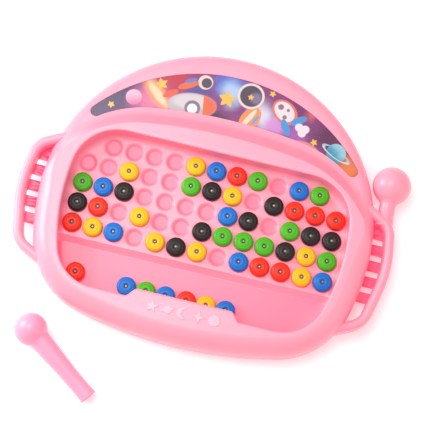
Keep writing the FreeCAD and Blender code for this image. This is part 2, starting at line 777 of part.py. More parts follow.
def pen_barrel():
    """Ball head and waisted shaft, turned about its axis, with a seat for the magnet at the tip."""
    ball, reach = size("pen_head") / 2, size("pen_reach")
    neck, waist, tip = size("pen_neck") / 2, size("pen_waist") / 2, size("pen_tip") / 2
    magnet = size("magnet_diameter") / 2
    recess = magnet + size("pen_recess_rim")
    inner = reach - size("pen_recess_depth")
    neck_z = math.sqrt(ball ** 2 - neck ** 2)

    def at(radius, z):
        return vector(radius, 0, z)

    flank = Part.BSplineCurve()
    flank.interpolate([at(neck, neck_z), at((neck + waist) / 2, reach * 0.4), at(waist, reach * 0.72),
                       at(tip, reach - 1)])
    edges = [Part.Arc(at(0, -ball), at(ball, 0), at(neck, neck_z)).toShape(), flank.toShape()]
    edges += Part.makePolygon([at(tip, reach - 1), at(tip - 0.5, reach), at(recess, reach),
                               at(recess, inner), at(magnet, inner),
                               at(magnet, inner - size("magnet_height")),
                               at(0, inner - size("magnet_height")), at(0, -ball)]).Edges
    shape = Part.Face(Part.Wire(edges)).revolve(vector(0, 0), vector(0, 0, 1), 360)
    return lay_down(feature("pen_barrel", shape))


def pen_magnet():
    inner = size("pen_reach") - size("pen_recess_depth")
    magnet = Part.makeCylinder(size("magnet_diameter") / 2, size("magnet_height"),
                               vector(0, 0, inner - size("magnet_height")))
    return lay_down(feature("pen_magnet", magnet))


# ---------------------------------------------------------------- build, test and write

def main():
    upper, lower = upper_shell(), lower_shell()
    pieces = [upper, lower, bead_tray(), picture_panel(), antenna([upper, lower]),
              case_screws(), rubber_feet(), pen_barrel(), pen_magnet()]
    pieces += beads()
    DOC.recompute()
    for item in DOC.Objects:
        if "Invalid" in item.State or "Error" in item.State:
            raise RuntimeError(f"{item.Name} did not build")
    os.makedirs("parts", exist_ok=True)
    for piece in pieces:
        if piece.Shape.isNull() or not piece.Shape.isValid():
            raise RuntimeError(f"{piece.Label} has no valid shape")
        piece.Label = piece.Name
    for piece in pieces:
        piece.Shape.exportStep(f"parts/{piece.Label}.step")
        print(piece.Label, len(piece.Shape.Solids), round(piece.Shape.Volume), piece.Shape.BoundBox)


main()
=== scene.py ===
import json
import math

import bmesh
import bpy
import numpy as np
from mathutils import Matrix, Vector
from mathutils.geometry import delaunay_2d_cdt


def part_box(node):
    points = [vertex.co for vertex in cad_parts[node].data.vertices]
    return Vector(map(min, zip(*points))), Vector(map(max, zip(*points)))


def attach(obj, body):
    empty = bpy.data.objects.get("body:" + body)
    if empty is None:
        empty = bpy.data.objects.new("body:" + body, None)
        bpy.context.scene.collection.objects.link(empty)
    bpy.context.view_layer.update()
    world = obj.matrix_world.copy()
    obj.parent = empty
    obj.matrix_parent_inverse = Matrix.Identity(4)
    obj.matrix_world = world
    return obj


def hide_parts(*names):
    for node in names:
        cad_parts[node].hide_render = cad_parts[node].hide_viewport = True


# Bead picking board in the outline of a space helmet, its fifty cored beads and its magnet pen.
# Sizes below are millimetres and are made metres when a mesh is written.

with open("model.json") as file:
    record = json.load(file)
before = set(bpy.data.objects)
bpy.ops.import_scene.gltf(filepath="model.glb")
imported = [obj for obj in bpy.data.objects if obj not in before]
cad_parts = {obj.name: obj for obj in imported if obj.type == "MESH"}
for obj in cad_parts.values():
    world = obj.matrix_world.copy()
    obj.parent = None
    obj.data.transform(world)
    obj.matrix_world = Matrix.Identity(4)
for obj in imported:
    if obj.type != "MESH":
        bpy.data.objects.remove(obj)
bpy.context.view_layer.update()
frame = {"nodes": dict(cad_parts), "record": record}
MM = 0.001


def placed(name, data):
    """A new object in the scene."""
    made = bpy.data.objects.new(name, data)
    bpy.context.scene.collection.objects.link(made)
    return made


# ---- sizes shared with the design

BEAD, BEAD_SPACE, COLUMNS = 15.0, 1.5, 13
PITCH = BEAD + BEAD_SPACE
FIELD = ["ryb.yky.brryb", "kr.y..kgggkyg", "gbk....bk.gkk", "..y..gky.krrr", "x....ybrg.bgx"]
FIELD_Z, TROUGH_Z, STEP_BACK, STEP_FRONT = 15.0, 9.5, -43.0, -47.5
SOCKET_RIM, SOCKET_FLOOR, SOCKET_DISH, SOCKET_DEPTH = 7.85, 6.2, 4.8, 1.75
OPENING_HALF, OPENING_BACK, OPENING_FRONT = 110.0, 44.1, 80.7
OPENING_SIDE_ROUND, OPENING_MIDDLE = 170.0, -8.0
OPENING_BACK_ROUND, OPENING_FRONT_ROUND = 36.0, 34.0
LIP_COVER, TRAY_WALL, TRAY_CLEARANCE, TRAY_FRONT_ROUND = 1.0, 2.2, 0.2, 24.0
HALF_WIDTH, FRONT, CROWN_MIDDLE = 130.5, 107.0, -4.0
SIDE_ROUND, SIDE_SWEEP, CORNER_ROUND = 200.0, 14.0, 62.0
SIDE_X = HALF_WIDTH - SIDE_ROUND
SPLIT_Z, ARCH_TOP, RIM_TOP, LIP_BOTTOM = 12.0, 24.0, 31.0, 27.0
# Brow lines as (Y in the middle, radius there, how far they overrun the helmet's side).
CREASE, SLOPE = (58.2, 420.0, 3.9), (73.7, 400.0, 7.0)
BROW_SWEEP, ARCH_BAND = 8.5, 17.7
PICTURE_ROUND_EXTRA, PICTURE_TIP_ROUND = 7.3, 4.5
PICTURE_FLOOR, PICTURE_TOP, PICTURE_CLEARANCE = 23.0, 23.75, 0.15
TAB_HALF, TAB_SLANT, TAB_REACH = 37.5, 5.7, 7.1
SYMBOL_SIZE, SYMBOL_PITCH, SYMBOL_SHIFT, SYMBOL_Y = 10.0, 12.0, 1.5, -84.0
HANDLE = [(-18.5, 40.5, 2), (-20.5, -74, 2), (8.5, -59.5, 22), (18.7, -13.4, 95), (13.5, 23.5, 20)]
HANDLE_BAR, HANDLE_TOP, HANDLE_ROUND = 7.8, 23.0, 3.6
ANTENNA_X, ANTENNA_Z, BALL_Y, BALL_RADIUS, NECK_RADIUS = HALF_WIDTH + 5, 15.5, 54.5, 15.0, 6.3
PEN_HEAD, PEN_REACH, PEN_NECK, PEN_WAIST, PEN_TIP = 12.75, 68.0, 8.3, 6.4, 6.8
PEN_RECESS, PEN_RECESS_DEPTH, MAGNET, MAGNET_HEIGHT = 4.1, 1.2, 3.3, 8.0
MAGNET_FACE = PEN_REACH - PEN_RECESS_DEPTH
PEN_PLACE, PEN_TURN = (-108.3, -120.1, PEN_HEAD), -35.5

# ---- camera

TARGET, DISTANCE = Vector((0, 0, 0.019)), 1.0783
ELEVATION, AZIMUTH, ROLL = math.radians(76.6), math.radians(8.1), math.radians(-5.6)
IMAGE_SIZE, FOCAL, AIM = 430, 1397, (8.1, -4.2)
SENSOR, NEAREST, FARTHEST = 36, 0.05, 20


def camera():
    """Camera above the front of the board, turned a little to the right and rolled."""
    back = Vector((math.sin(AZIMUTH) * math.cos(ELEVATION),
                   -math.cos(AZIMUTH) * math.cos(ELEVATION), math.sin(ELEVATION)))
    level = Vector((math.cos(AZIMUTH), math.sin(AZIMUTH), 0))
    high = back.cross(level)
    right = level * math.cos(ROLL) - high * math.sin(ROLL)
    up = level * math.sin(ROLL) + high * math.cos(ROLL)
    place = TARGET + back * DISTANCE
    back = (back * FOCAL - right * AIM[0] - up * AIM[1]).normalized()
    right = up.cross(back).normalized()
    up = back.cross(right)
    data = bpy.data.cameras.new("camera")
    data.sensor_width = SENSOR
    data.lens = SENSOR * FOCAL / IMAGE_SIZE
    data.clip_start, data.clip_end = NEAREST, FARTHEST
    made = placed("camera", data)
    made.matrix_world = Matrix((right, up, back)).transposed().to_4x4()
    made.location = place
    bpy.context.scene.camera = made


camera()

# ---- outlines in the plane


def arc(x, y, radius, start, end, steps):
    """Points along an arc, in degrees; its last point is left to the next run."""
    angles = np.radians(np.linspace(start, end, steps, endpoint=False))
    return np.column_stack([x + radius * np.cos(angles), y + radius * np.sin(angles)])


def run(x1, y1, x2, y2, steps):
    """Points along a straight line; its last point is left to the next run."""
    along = np.linspace(0, 1, steps, endpoint=False)[:, None]
    return np.array([x1, y1]) * (1 - along) + np.array([x2, y2]) * along


def front_arcs():
    """Middle of the right corner's arc, then half the sweep, in degrees, and radius of the front's."""
    sweep = math.radians(SIDE_SWEEP)
    x = SIDE_X + (SIDE_ROUND - CORNER_ROUND) * math.cos(sweep)
    y = CROWN_MIDDLE - (SIDE_ROUND - CORNER_ROUND) * math.sin(sweep)
    half_sweep = 2 * math.degrees(math.atan2(y + FRONT - CORNER_ROUND, x))
    return x, y, half_sweep, CORNER_ROUND + x / math.sin(math.radians(half_sweep))


def helmet():
    """Crown, sides, lower corners and front of the helmet."""
    x, y, half_sweep, radius = front_arcs()
    return np.vstack([
        arc(0, CROWN_MIDDLE, HALF_WIDTH, 0, 180, 400),
        arc(-SIDE_X, CROWN_MIDDLE, SIDE_ROUND, 180, 180 + SIDE_SWEEP, 40),
        arc(-x, y, CORNER_ROUND, 180 + SIDE_SWEEP, 270 - half_sweep, 90),
        arc(0, radius - FRONT, radius, 270 - half_sweep, 270 + half_sweep, 160),
        arc(x, y, CORNER_ROUND, 270 + half_sweep, 360 - SIDE_SWEEP, 90),
        arc(SIDE_X, CROWN_MIDDLE, SIDE_ROUND, 360 - SIDE_SWEEP, 360, 40),
    ])


def visor(grow, front_round):
    """Outline of the opening, moved out by grow; it always has the same number of points."""
    side = OPENING_SIDE_ROUND + grow
    side_x = OPENING_HALF - OPENING_SIDE_ROUND
    back_round = OPENING_BACK_ROUND + grow
    back_y = OPENING_BACK + grow - back_round
    front_y = front_round - OPENING_FRONT - grow
    back_x = side_x + math.sqrt((side - back_round) ** 2 - (back_y - OPENING_MIDDLE) ** 2)
    front_x = side_x + math.sqrt((side - front_round) ** 2 - (front_y - OPENING_MIDDLE) ** 2)
    up = math.degrees(math.atan2(back_y - OPENING_MIDDLE, back_x - side_x))
    down = math.degrees(math.atan2(front_y - OPENING_MIDDLE, front_x - side_x))
    return np.vstack([
        arc(side_x, OPENING_MIDDLE, side, down, up, 90),
        arc(back_x, back_y, back_round, up, 90, 26),
        run(back_x, back_y + back_round, -back_x, back_y + back_round, 70),
        arc(-back_x, back_y, back_round, 90, 180 - up, 26),
        arc(-side_x, OPENING_MIDDLE, side, 180 - up, 180 - down, 90),
        arc(-front_x, front_y, front_round, 180 - down, 270, 26),
        run(-front_x, front_y - front_round, front_x, front_y - front_round, 70),
        arc(front_x, front_y, front_round, 270, 360 + down, 26),
    ])


def tray_outline(grow=0.0):
    """Inner side of the tray's wall, moved out by grow."""
    return visor(LIP_COVER + grow, TRAY_FRONT_ROUND + grow)


def shoulder(top, middle, overrun):
    """Radius and middle of the arc that runs on from a brow line past the side of the helmet."""
    turn = math.radians(BROW_SWEEP)
    radius = (HALF_WIDTH + overrun - middle * math.sin(turn)) / (1 - math.sin(turn))
    x = (middle - radius) * math.sin(turn)
    return radius, x, top - middle + (middle - radius) * math.cos(turn)


def behind(x, y, top, middle, overrun):
    """Distance behind a brow line, towards the crown; negative in front of it."""
    radius, side_x, side_y = shoulder(top, middle, overrun)
    across = np.abs(x)
    centre_y = top - middle
    in_middle = across < (y - centre_y) * math.tan(math.radians(BROW_SWEEP))
    centre = np.hypot(x, y - centre_y) - middle
    side = np.hypot(across - side_x, np.maximum(y - side_y, 0)) - radius
    return np.where(in_middle, centre, side)


def crescent(inset=0.0):
    """The picture panel: crown-side arc, brow-side arcs and two round tips."""
    outer = HALF_WIDTH + PICTURE_ROUND_EXTRA - inset
    outer_y = CROWN_MIDDLE + HALF_WIDTH - ARCH_BAND - inset - outer
    tip = PICTURE_TIP_ROUND - inset
    radius, x, y = shoulder(*SLOPE)
    middle_y, middle_round = SLOPE[0] - SLOPE[1], SLOPE[1] + inset
    a, b = outer - tip, radius + inset + tip
    span = math.hypot(x, y - outer_y)
    turn = math.acos((a * a + span * span - b * b) / (2 * a * span))
    end = math.atan2(y - outer_y, x) + turn
    tip_x, tip_y = a * math.cos(end), outer_y + a * math.sin(end)
    end = math.degrees(end)
    low = math.degrees(math.atan2(tip_y - y, tip_x - x))
    return np.vstack([
        arc(0, outer_y, outer, end, 180 - end, 120),
        arc(-tip_x, tip_y, tip, 180 - end, 360 - low, 14),
        arc(-x, y, radius + inset, 180 - low, 90 + BROW_SWEEP, 40),
        arc(0, middle_y, middle_round, 90 + BROW_SWEEP, 90 - BROW_SWEEP, 70),
        arc(x, y, radius + inset, 90 - BROW_SWEEP, low, 40),
        arc(tip_x, tip_y, tip, 180 + low, 360 + end, 14),
    ])


def rounded(corners, steps=12):
    """Open path through corners given as (x, y, radius), each but the end ones rounded."""
    points = [np.array(corners[0][:2], float)]
    for before, (x, y, radius), after in zip(corners, corners[1:], corners[2:]):
        here = np.array([x, y], float)
        back = np.array(before[:2], float) - here
        onward = np.array(after[:2], float) - here
        back /= np.linalg.norm(back)
        onward /= np.linalg.norm(onward)
        half = math.acos(float(back @ onward)) / 2
        start, end = here + back * radius / math.tan(half), here + onward * radius / math.tan(half)
        middle = here + (back + onward) / np.linalg.norm(back + onward) * radius / math.sin(half)
        first = math.atan2(*(start - middle)[::-1])
        turn = math.atan2(*(end - middle)[::-1]) - first
        turn = (turn + math.pi) % (2 * math.pi) - math.pi
        for share in np.linspace(0, 1, steps):
            angle = first + turn * share
            points.append(middle + radius * np.array([math.cos(angle), math.sin(angle)]))
    points.append(np.array(corners[-1][:2], float))
    return np.array(points)


def away(points, outline):
    """Distance of each point from a closed outline."""
    start = outline
    along = np.roll(outline, -1, axis=0) - start
    square = (along ** 2).sum(axis=1)
    nearest = []
    for point in points:
        off = point - start
        share = np.clip((off * along).sum(axis=1) / square, 0, 1)
        gap = off - along * share[:, None]
        nearest.append(math.sqrt((gap ** 2).sum(axis=1).min()))
    return np.array(nearest)


def crossing(outline, origin, direction):
    """Distance along a ray to where it leaves a closed outline."""
    from_ray = outline - origin
    to_side = direction[0] * from_ray[:, 1] - direction[1] * from_ray[:, 0]
    ahead = from_ray @ direction
    next_side, next_ahead = np.roll(to_side, -1), np.roll(ahead, -1)
    hit = (to_side <= 0) != (next_side <= 0)
    share = to_side[hit] / (to_side[hit] - next_side[hit])
    return float((ahead[hit] + (next_ahead[hit] - ahead[hit]) * share).max())


def smooth(value):
    """Eased share between 0 and 1."""
    value = np.clip(value, 0, 1)
    return value * value * (3 - 2 * value)


# ---- meshes

SHARP = math.radians(38)


def as_piece(name, mesh, material, sharp=SHARP):
    """A shown piece from a mesh, smooth except at edges sharper than an angle."""
    made = placed(name, mesh)
    for one in material if isinstance(material, list) else [material]:
        mesh.materials.append(one)
    mesh.shade_smooth()
    mesh.set_sharp_from_angle(angle=sharp)
    return made


def solid(name, points, faces, material, sharp=SHARP, kinds=None):
    """A closed piece from points in millimetres, its faces turned outwards."""
    mesh = bpy.data.meshes.new(name)
    mesh.from_pydata([(x * MM, y * MM, z * MM) for x, y, z in points], [], faces)
    if kinds is not None:
        mesh.polygons.foreach_set("material_index", kinds)
    merge(mesh, True)
    return as_piece(name, mesh, material, sharp)


def merge(mesh, outwards):
    """Merges points that coincide and, if asked, turns the faces outwards."""
    work = bmesh.new()
    work.from_mesh(mesh)
    bmesh.ops.remove_doubles(work, verts=work.verts, dist=1e-6)
    if outwards:
        bmesh.ops.recalc_face_normals(work, faces=work.faces)
    work.to_mesh(mesh)
    work.free()


def apply_modifiers(piece):
    """Leaves a piece as the plain mesh that its modifiers make of it."""
    mesh = bpy.data.meshes.new_from_object(piece.evaluated_get(bpy.context.evaluated_depsgraph_get()))
    piece.modifiers.clear()
    piece.data = mesh
    return mesh


def tube_faces(rings, size, closed):
    """Faces between rings of equal size; the last ring meets the first if closed."""
    faces = []
    for ring in range(rings if closed else rings - 1):
        here, there = ring * size, (ring + 1) % rings * size
        for index in range(size):
            onward = (index + 1) % size
            faces.append((here + index, here + onward, there + onward, there + index))
    return faces


def capped(rings, size):
    """Faces between rings of equal size and over both ends."""
    last = (rings - 1) * size
    return tube_faces(rings, size, False) + [tuple(range(size)), tuple(range(last, last + size))]


def lathe(name, profile, segments, matrix, material, kinds=None, sharp=SHARP):
    """Closed turned piece: profile is (radius, height) from one end of the axis to the other."""
    points = []
    for radius, height in profile:
        for step in range(segments):
            angle = 2 * math.pi * step / segments
            point = Vector((radius * math.cos(angle), radius * math.sin(angle), height))
            points.append(tuple(matrix @ point))
    slots = [kind for kind in kinds or [0] * (len(profile) - 1) for _ in range(segments)]
    return solid(name, points, tube_faces(len(profile), segments, False), material, sharp, slots)


# ---- materials

class Level:
    """A number on a node socket; arithmetic on it adds Math nodes."""

    def __init__(self, nodes, socket):
        self.nodes, self.socket = nodes, socket

    def math(self, operation, *others):
        return self.nodes.math(operation, self, *others)

    def __add__(self, other):
        return self.math("ADD", other)

    def __sub__(self, other):
        return self.math("SUBTRACT", other)

    def __mul__(self, other):
        return self.math("MULTIPLY", other)

    def __truediv__(self, other):
        return self.math("DIVIDE", other)

    def __radd__(self, other):
        return self.nodes.math("ADD", other, self)

    def __rsub__(self, other):
        return self.nodes.math("SUBTRACT", other, self)

    def __rmul__(self, other):
        return self.nodes.math("MULTIPLY", other, self)

    def __abs__(self):
        return self.math("ABSOLUTE")


class Nodes:
    """A node tree. Every node in it is added by node()."""

    def __init__(self, tree):
        self.tree = tree

    def node(self, kind, settings=None, inputs=None):
        made = self.tree.nodes.new(kind)
        for key, value in (settings or {}).items():
            setattr(made, key, value)
        for key, value in (inputs or {}).items():
            for one in value if isinstance(value, list) else [value]:
                if isinstance(one, Level):
                    one = one.socket
                if isinstance(one, bpy.types.NodeSocket):
                    self.tree.links.new(one, made.inputs[key])
                else:
                    made.inputs[key].default_value = one
        return made

    def math(self, operation, *values):
        made = self.node("ShaderNodeMath", {"operation": operation}, dict(enumerate(values)))
        return Level(self, made.outputs[0])


class Paint(Nodes):
    """One material's nodes."""

    def __init__(self, name):
        self.material = bpy.data.materials.new(name)
        self.material.use_nodes = True
        super().__init__(self.material.node_tree)
        self.tree.nodes.clear()

    def place(self):
        """X, Y and Z on the object in millimetres."""
        where = self.node("ShaderNodeTexCoord").outputs["Object"]
        scaled = self.node("ShaderNodeVectorMath", {"operation": "SCALE"}, {0: where, "Scale": 1 / MM})
        parts = self.node("ShaderNodeSeparateXYZ", None, {0: scaled.outputs[0]})
        return scaled.outputs[0], [Level(self, one) for one in parts.outputs]

    def noise(self, vector, scale, detail=3.0, roughness=0.5):
        made = self.node("ShaderNodeTexNoise", None, {
            "Vector": vector, "Scale": scale, "Detail": detail, "Roughness": roughness})
        return Level(self, made.outputs["Fac"])

    def step(self, value, low, high):
        """0 where value is below low, 1 above high, smooth between."""
        made = self.node("ShaderNodeMapRange", {"interpolation_type": "SMOOTHSTEP"}, {
            "Value": value, "From Min": low, "From Max": high})
        return Level(self, made.outputs[0])

    def mix(self, share, first, second, blend="MIX"):
        made = self.node("ShaderNodeMix", {"data_type": "RGBA", "blend_type": blend, "clamp_factor": True},
                         {0: share, 6: first, 7: second})
        return made.outputs[2]

    def shade(self, colour, roughness, bump=None, **constants):
        """Principled surface; constants are numbers on its own sockets."""
        inputs = {"Base Color": colour, "Roughness": roughness}
        inputs.update({key.replace("_", " "): value for key, value in constants.items()})
        if bump is not None:
            height, depth, strength = bump
            made = self.node("ShaderNodeBump", None, {
                "Height": height, "Distance": depth, "Strength": strength})
            inputs["Normal"] = made.outputs[0]
        shader = self.node("ShaderNodeBsdfPrincipled", None, inputs)
        self.node("ShaderNodeOutputMaterial", None, {"Surface": shader.outputs[0]})
        return self.material


def rgb(red, green, blue):
    return (red, green, blue, 1.0)


# The riser colour is painted light: a lighter pink laid on the face of the tray's step.
RISER_LIT, SKIN_DEPTH = rgb(0.95, 0.40, 0.50), 0.00002


def moulded(name, colour, deep, gloss=0.3, grain=0.02, floor=None, brow=None, slot=None, **constants):
    """Moulded plastic: faint flow marks, uneven gloss and a fine skin.

    floor, brow and slot are painted shade, laid by place: darker low down in the tray (painted lighter
    on the step's riser), on the slope behind the brow line, and between a handle and the helmet.
    """
    paint = Paint(name)
    where, (x, y, z) = paint.place()
    flow = paint.noise(where, 0.018, 2.0)
    cloud = paint.noise(where, 0.11, 4.0)
    skin = paint.noise(where, 2.6, 2.0)
    tone = paint.mix(paint.step(flow * 0.6 + cloud * 0.4, 0.35, 0.65), rgb(*colour), rgb(*deep))
    # Painted shade: darker pink low down in the tray, in the sockets and the trough; the step's riser is
    # painted lighter instead.
    if floor:
        low, high, tint = floor
        riser = paint.step(y, STEP_FRONT - 1, STEP_FRONT + 1)
        riser = riser * (1 - paint.step(y, STEP_BACK - 1, STEP_BACK + 0.5))
        tint = paint.mix(riser, rgb(*tint), RISER_LIT)
        tone = paint.mix(paint.step(z, low, high), tint, tone)
    # Painted shade: a darker band of pink on the slope behind the brow line.
    if brow:
        brow_shade = paint.step(z, ARCH_TOP + 0.1, 26.0) * (1 - paint.step(z, 29.9, RIM_TOP - 0.05))
        brow_shade = brow_shade * (1 - paint.step(abs(x), 98.0, 117.0)) * paint.step(y, 8.0, 26.0)
        tone = paint.mix(brow_shade, tone, rgb(*brow))
    # Painted shade: deep crimson inside the slots between a handle and the helmet.
    if slot:
        inside = paint.step(abs(x), 128.0, 131.0) * (1 - paint.step(abs(x), 141.5, 144.0))
        inside = inside * paint.step(z, 6.0, 8.0) * (1 - paint.step(y, 38.0, 46.0))
        tone = paint.mix(inside, tone, rgb(*slot))
    scuff = paint.step(paint.noise(where, 0.5, 5.0, 0.7), 0.55, 0.75)
    roughness = gloss + cloud * 0.10 + scuff * 0.06
    return paint.shade(tone, roughness, (skin, SKIN_DEPTH, grain * 10), **constants)


def metal(name, colour, roughness, dull):
    """Turned steel: fine rings and a few dull patches."""
    paint = Paint(name)
    where, _ = paint.place()
    grain = paint.noise(where, 3.5, 3.0)
    patch = paint.step(paint.noise(where, 0.6, 3.0), 0.45, 0.7)
    tone = paint.mix(patch, rgb(*colour), rgb(*dull))
    return paint.shade(tone, roughness + grain * 0.2, (grain, SKIN_DEPTH, 0.3), Metallic=1.0)


def rubber():
    paint = Paint("foot_rubber")
    where, _ = paint.place()
    grain = paint.noise(where, 1.8, 4.0)
    tone = paint.mix(grain, rgb(0.05, 0.05, 0.052), rgb(0.11, 0.105, 0.105))
    return paint.shade(tone, 0.72 + grain * 0.15, (grain, 0.0001, 0.35))


PINK, PINK_DEEP = (0.94, 0.345, 0.430), (0.925, 0.33, 0.415)
# The red emission is painted light: a faint glow in the pink plastic that lifts and reddens its shade.
PLASTIC_WITH_GLOW = {"Specular_IOR_Level": 0.5, "Coat_Weight": 0.30, "Coat_Roughness": 0.24,
           "Emission_Color": rgb(1.0, 0.06, 0.21), "Emission_Strength": 0.18}
BRIGHT = {"Specular_IOR_Level": 0.28, "Coat_Weight": 0.04, "Coat_Roughness": 0.12}
# The brow colour here and the slot and floor colours below are painted shade.
SHELL = moulded("shell_pink", PINK, PINK_DEEP, 0.33, brow=(0.92, 0.255, 0.345), **PLASTIC_WITH_GLOW)
BASE = moulded("base_pink", PINK, PINK_DEEP, 0.33, slot=(0.93, 0.13, 0.26), **PLASTIC_WITH_GLOW)
# The symbols' lighter pink is painted highlight: light catching the raised marks.
MARK_HIGHLIGHT = moulded("symbol_pink", (0.95, 0.45, 0.53), (0.94, 0.43, 0.51), 0.33, **PLASTIC_WITH_GLOW)
TRAY = moulded("tray_pink", (0.94, 0.33, 0.41), (0.925, 0.31, 0.39), 0.36,
               floor=(13.4, 15.0, (0.93, 0.205, 0.300)), **PLASTIC_WITH_GLOW)
PEN = moulded("pen_pink", (0.94, 0.35, 0.49), (0.925, 0.335, 0.47), 0.30, **PLASTIC_WITH_GLOW)
BEAD_TONES = {
    "red": ((0.90, 0.030, 0.008), (0.87, 0.025, 0.007), 0.30),
    "yellow": ((0.95, 0.50, 0.004), (0.93, 0.47, 0.004), 0.30),
    "green": ((0.075, 0.46, 0.006), (0.065, 0.43, 0.006), 0.30),
    "blue": ((0.007, 0.165, 0.60), (0.007, 0.15, 0.56), 0.30),
    "black": ((0.014, 0.008, 0.007), (0.020, 0.012, 0.011), 0.34),
}
BEAD_COLOURS = {name: moulded("bead_" + name, *tones, 0.03, **BRIGHT) for name, tones in BEAD_TONES.items()}
STEEL = metal("core_steel", (0.46, 0.42, 0.39), 0.40, (0.32, 0.29, 0.27))
# The shaded steel copy is painted shade for the hollow round each bead's core.
STEEL_PAINTED_SHADE = metal("core_steel_shaded", (0.16, 0.12, 0.09), 0.5, (0.10, 0.08, 0.06))
MAGNET_METAL = metal("magnet_nickel", (0.42, 0.41, 0.36), 0.38, (0.30, 0.29, 0.26))
SCREW_METAL = metal("screw_steel", (0.55, 0.55, 0.54), 0.32, (0.42, 0.42, 0.41))
RUBBER = rubber()


# ---- helmet-shaped top

EDGE_ROUND, RAY_MIDDLE, RAY_Y = 1.4, 60.0, -18.0
RIM_ROLL, ARCH_ROLL = (14.0, 14.0), (9.0, 8.0)
SEAM_INSET, SEAM_TOP, SEAM_BOTTOM = 0.45, 0.7, 0.3
FAN_STEPS, EDGE_STEPS, ROLL_STEPS = 72, 4, 10
BROW_STATIONS, SLOPE_STATIONS, ARCH_STATIONS = 6, 11, 11
OUTLINE = helmet()


def tab(x):
    """How much of the tab's reach stands at x, its corners a little rounded."""
    return np.mean([np.clip((TAB_HALF + TAB_SLANT - np.abs(x + off)) / TAB_SLANT, 0, 1)
                    for off in (-1.1, -0.4, 0.4, 1.1)], axis=0)


def deck(x, y):
    """Height of the top before its edges are rolled: rim, slope behind the brow, arch."""
    past_crease = behind(x, y, *CREASE)
    before_arch = -behind(x, y, *SLOPE)
    share = np.clip(past_crease / np.maximum(past_crease + before_arch, 1e-6), 0, 1)
    share = np.where(before_arch <= 0, 1.0, np.where(past_crease <= 0, 0.0, share))
    share = 1 - (1 - share) ** 1.9
    return RIM_TOP - (RIM_TOP - ARCH_TOP) * share


def roll(gap, width, drop):
    """How far the surface has fallen at a gap from the silhouette."""
    share = np.clip(1 - gap / width, 0, 1)
    return drop * (1 - np.sqrt(np.maximum(1 - share ** 2, 0)))


def rays():
    """Origin and direction of every section through the top, anticlockwise from the front right."""
    front = set(np.round(np.linspace(-RAY_MIDDLE, RAY_MIDDLE, 41), 3))
    for centre in (TAB_HALF, TAB_HALF + TAB_SLANT):
        for off in (-1.6, -0.8, 0, 0.8, 1.6):
            front |= {round(centre + off, 3), round(-centre - off, 3)}
    front = [x for x in sorted(front) if abs(x) < RAY_MIDDLE]
    middles = [(RAY_MIDDLE, math.radians(angle)) for angle in np.linspace(-90, 90, FAN_STEPS)]
    middles += [(x, math.pi / 2) for x in np.linspace(RAY_MIDDLE, -RAY_MIDDLE, 41)[1:-1]]
    middles += [(-RAY_MIDDLE, math.radians(angle)) for angle in np.linspace(90, 270, FAN_STEPS)]
    middles += [(x, -math.pi / 2) for x in front]
    return [(np.array([x, RAY_Y]), np.array([math.cos(a), math.sin(a)])) for x, a in middles]


def line_crossing(origin, direction, start, end, line):
    """Share of the way from start to end at which a ray passes a brow line, or 1."""
    along = np.linspace(start, end, 60)
    points = origin + direction * along[:, None]
    past = behind(points[:, 0], points[:, 1], *line)
    if past[0] >= 0 or past[-1] <= 0:
        return 1.0
    first = int(np.argmax(past > 0))
    share = past[first - 1] / (past[first - 1] - past[first])
    return (first - 1 + share) / (len(along) - 1)


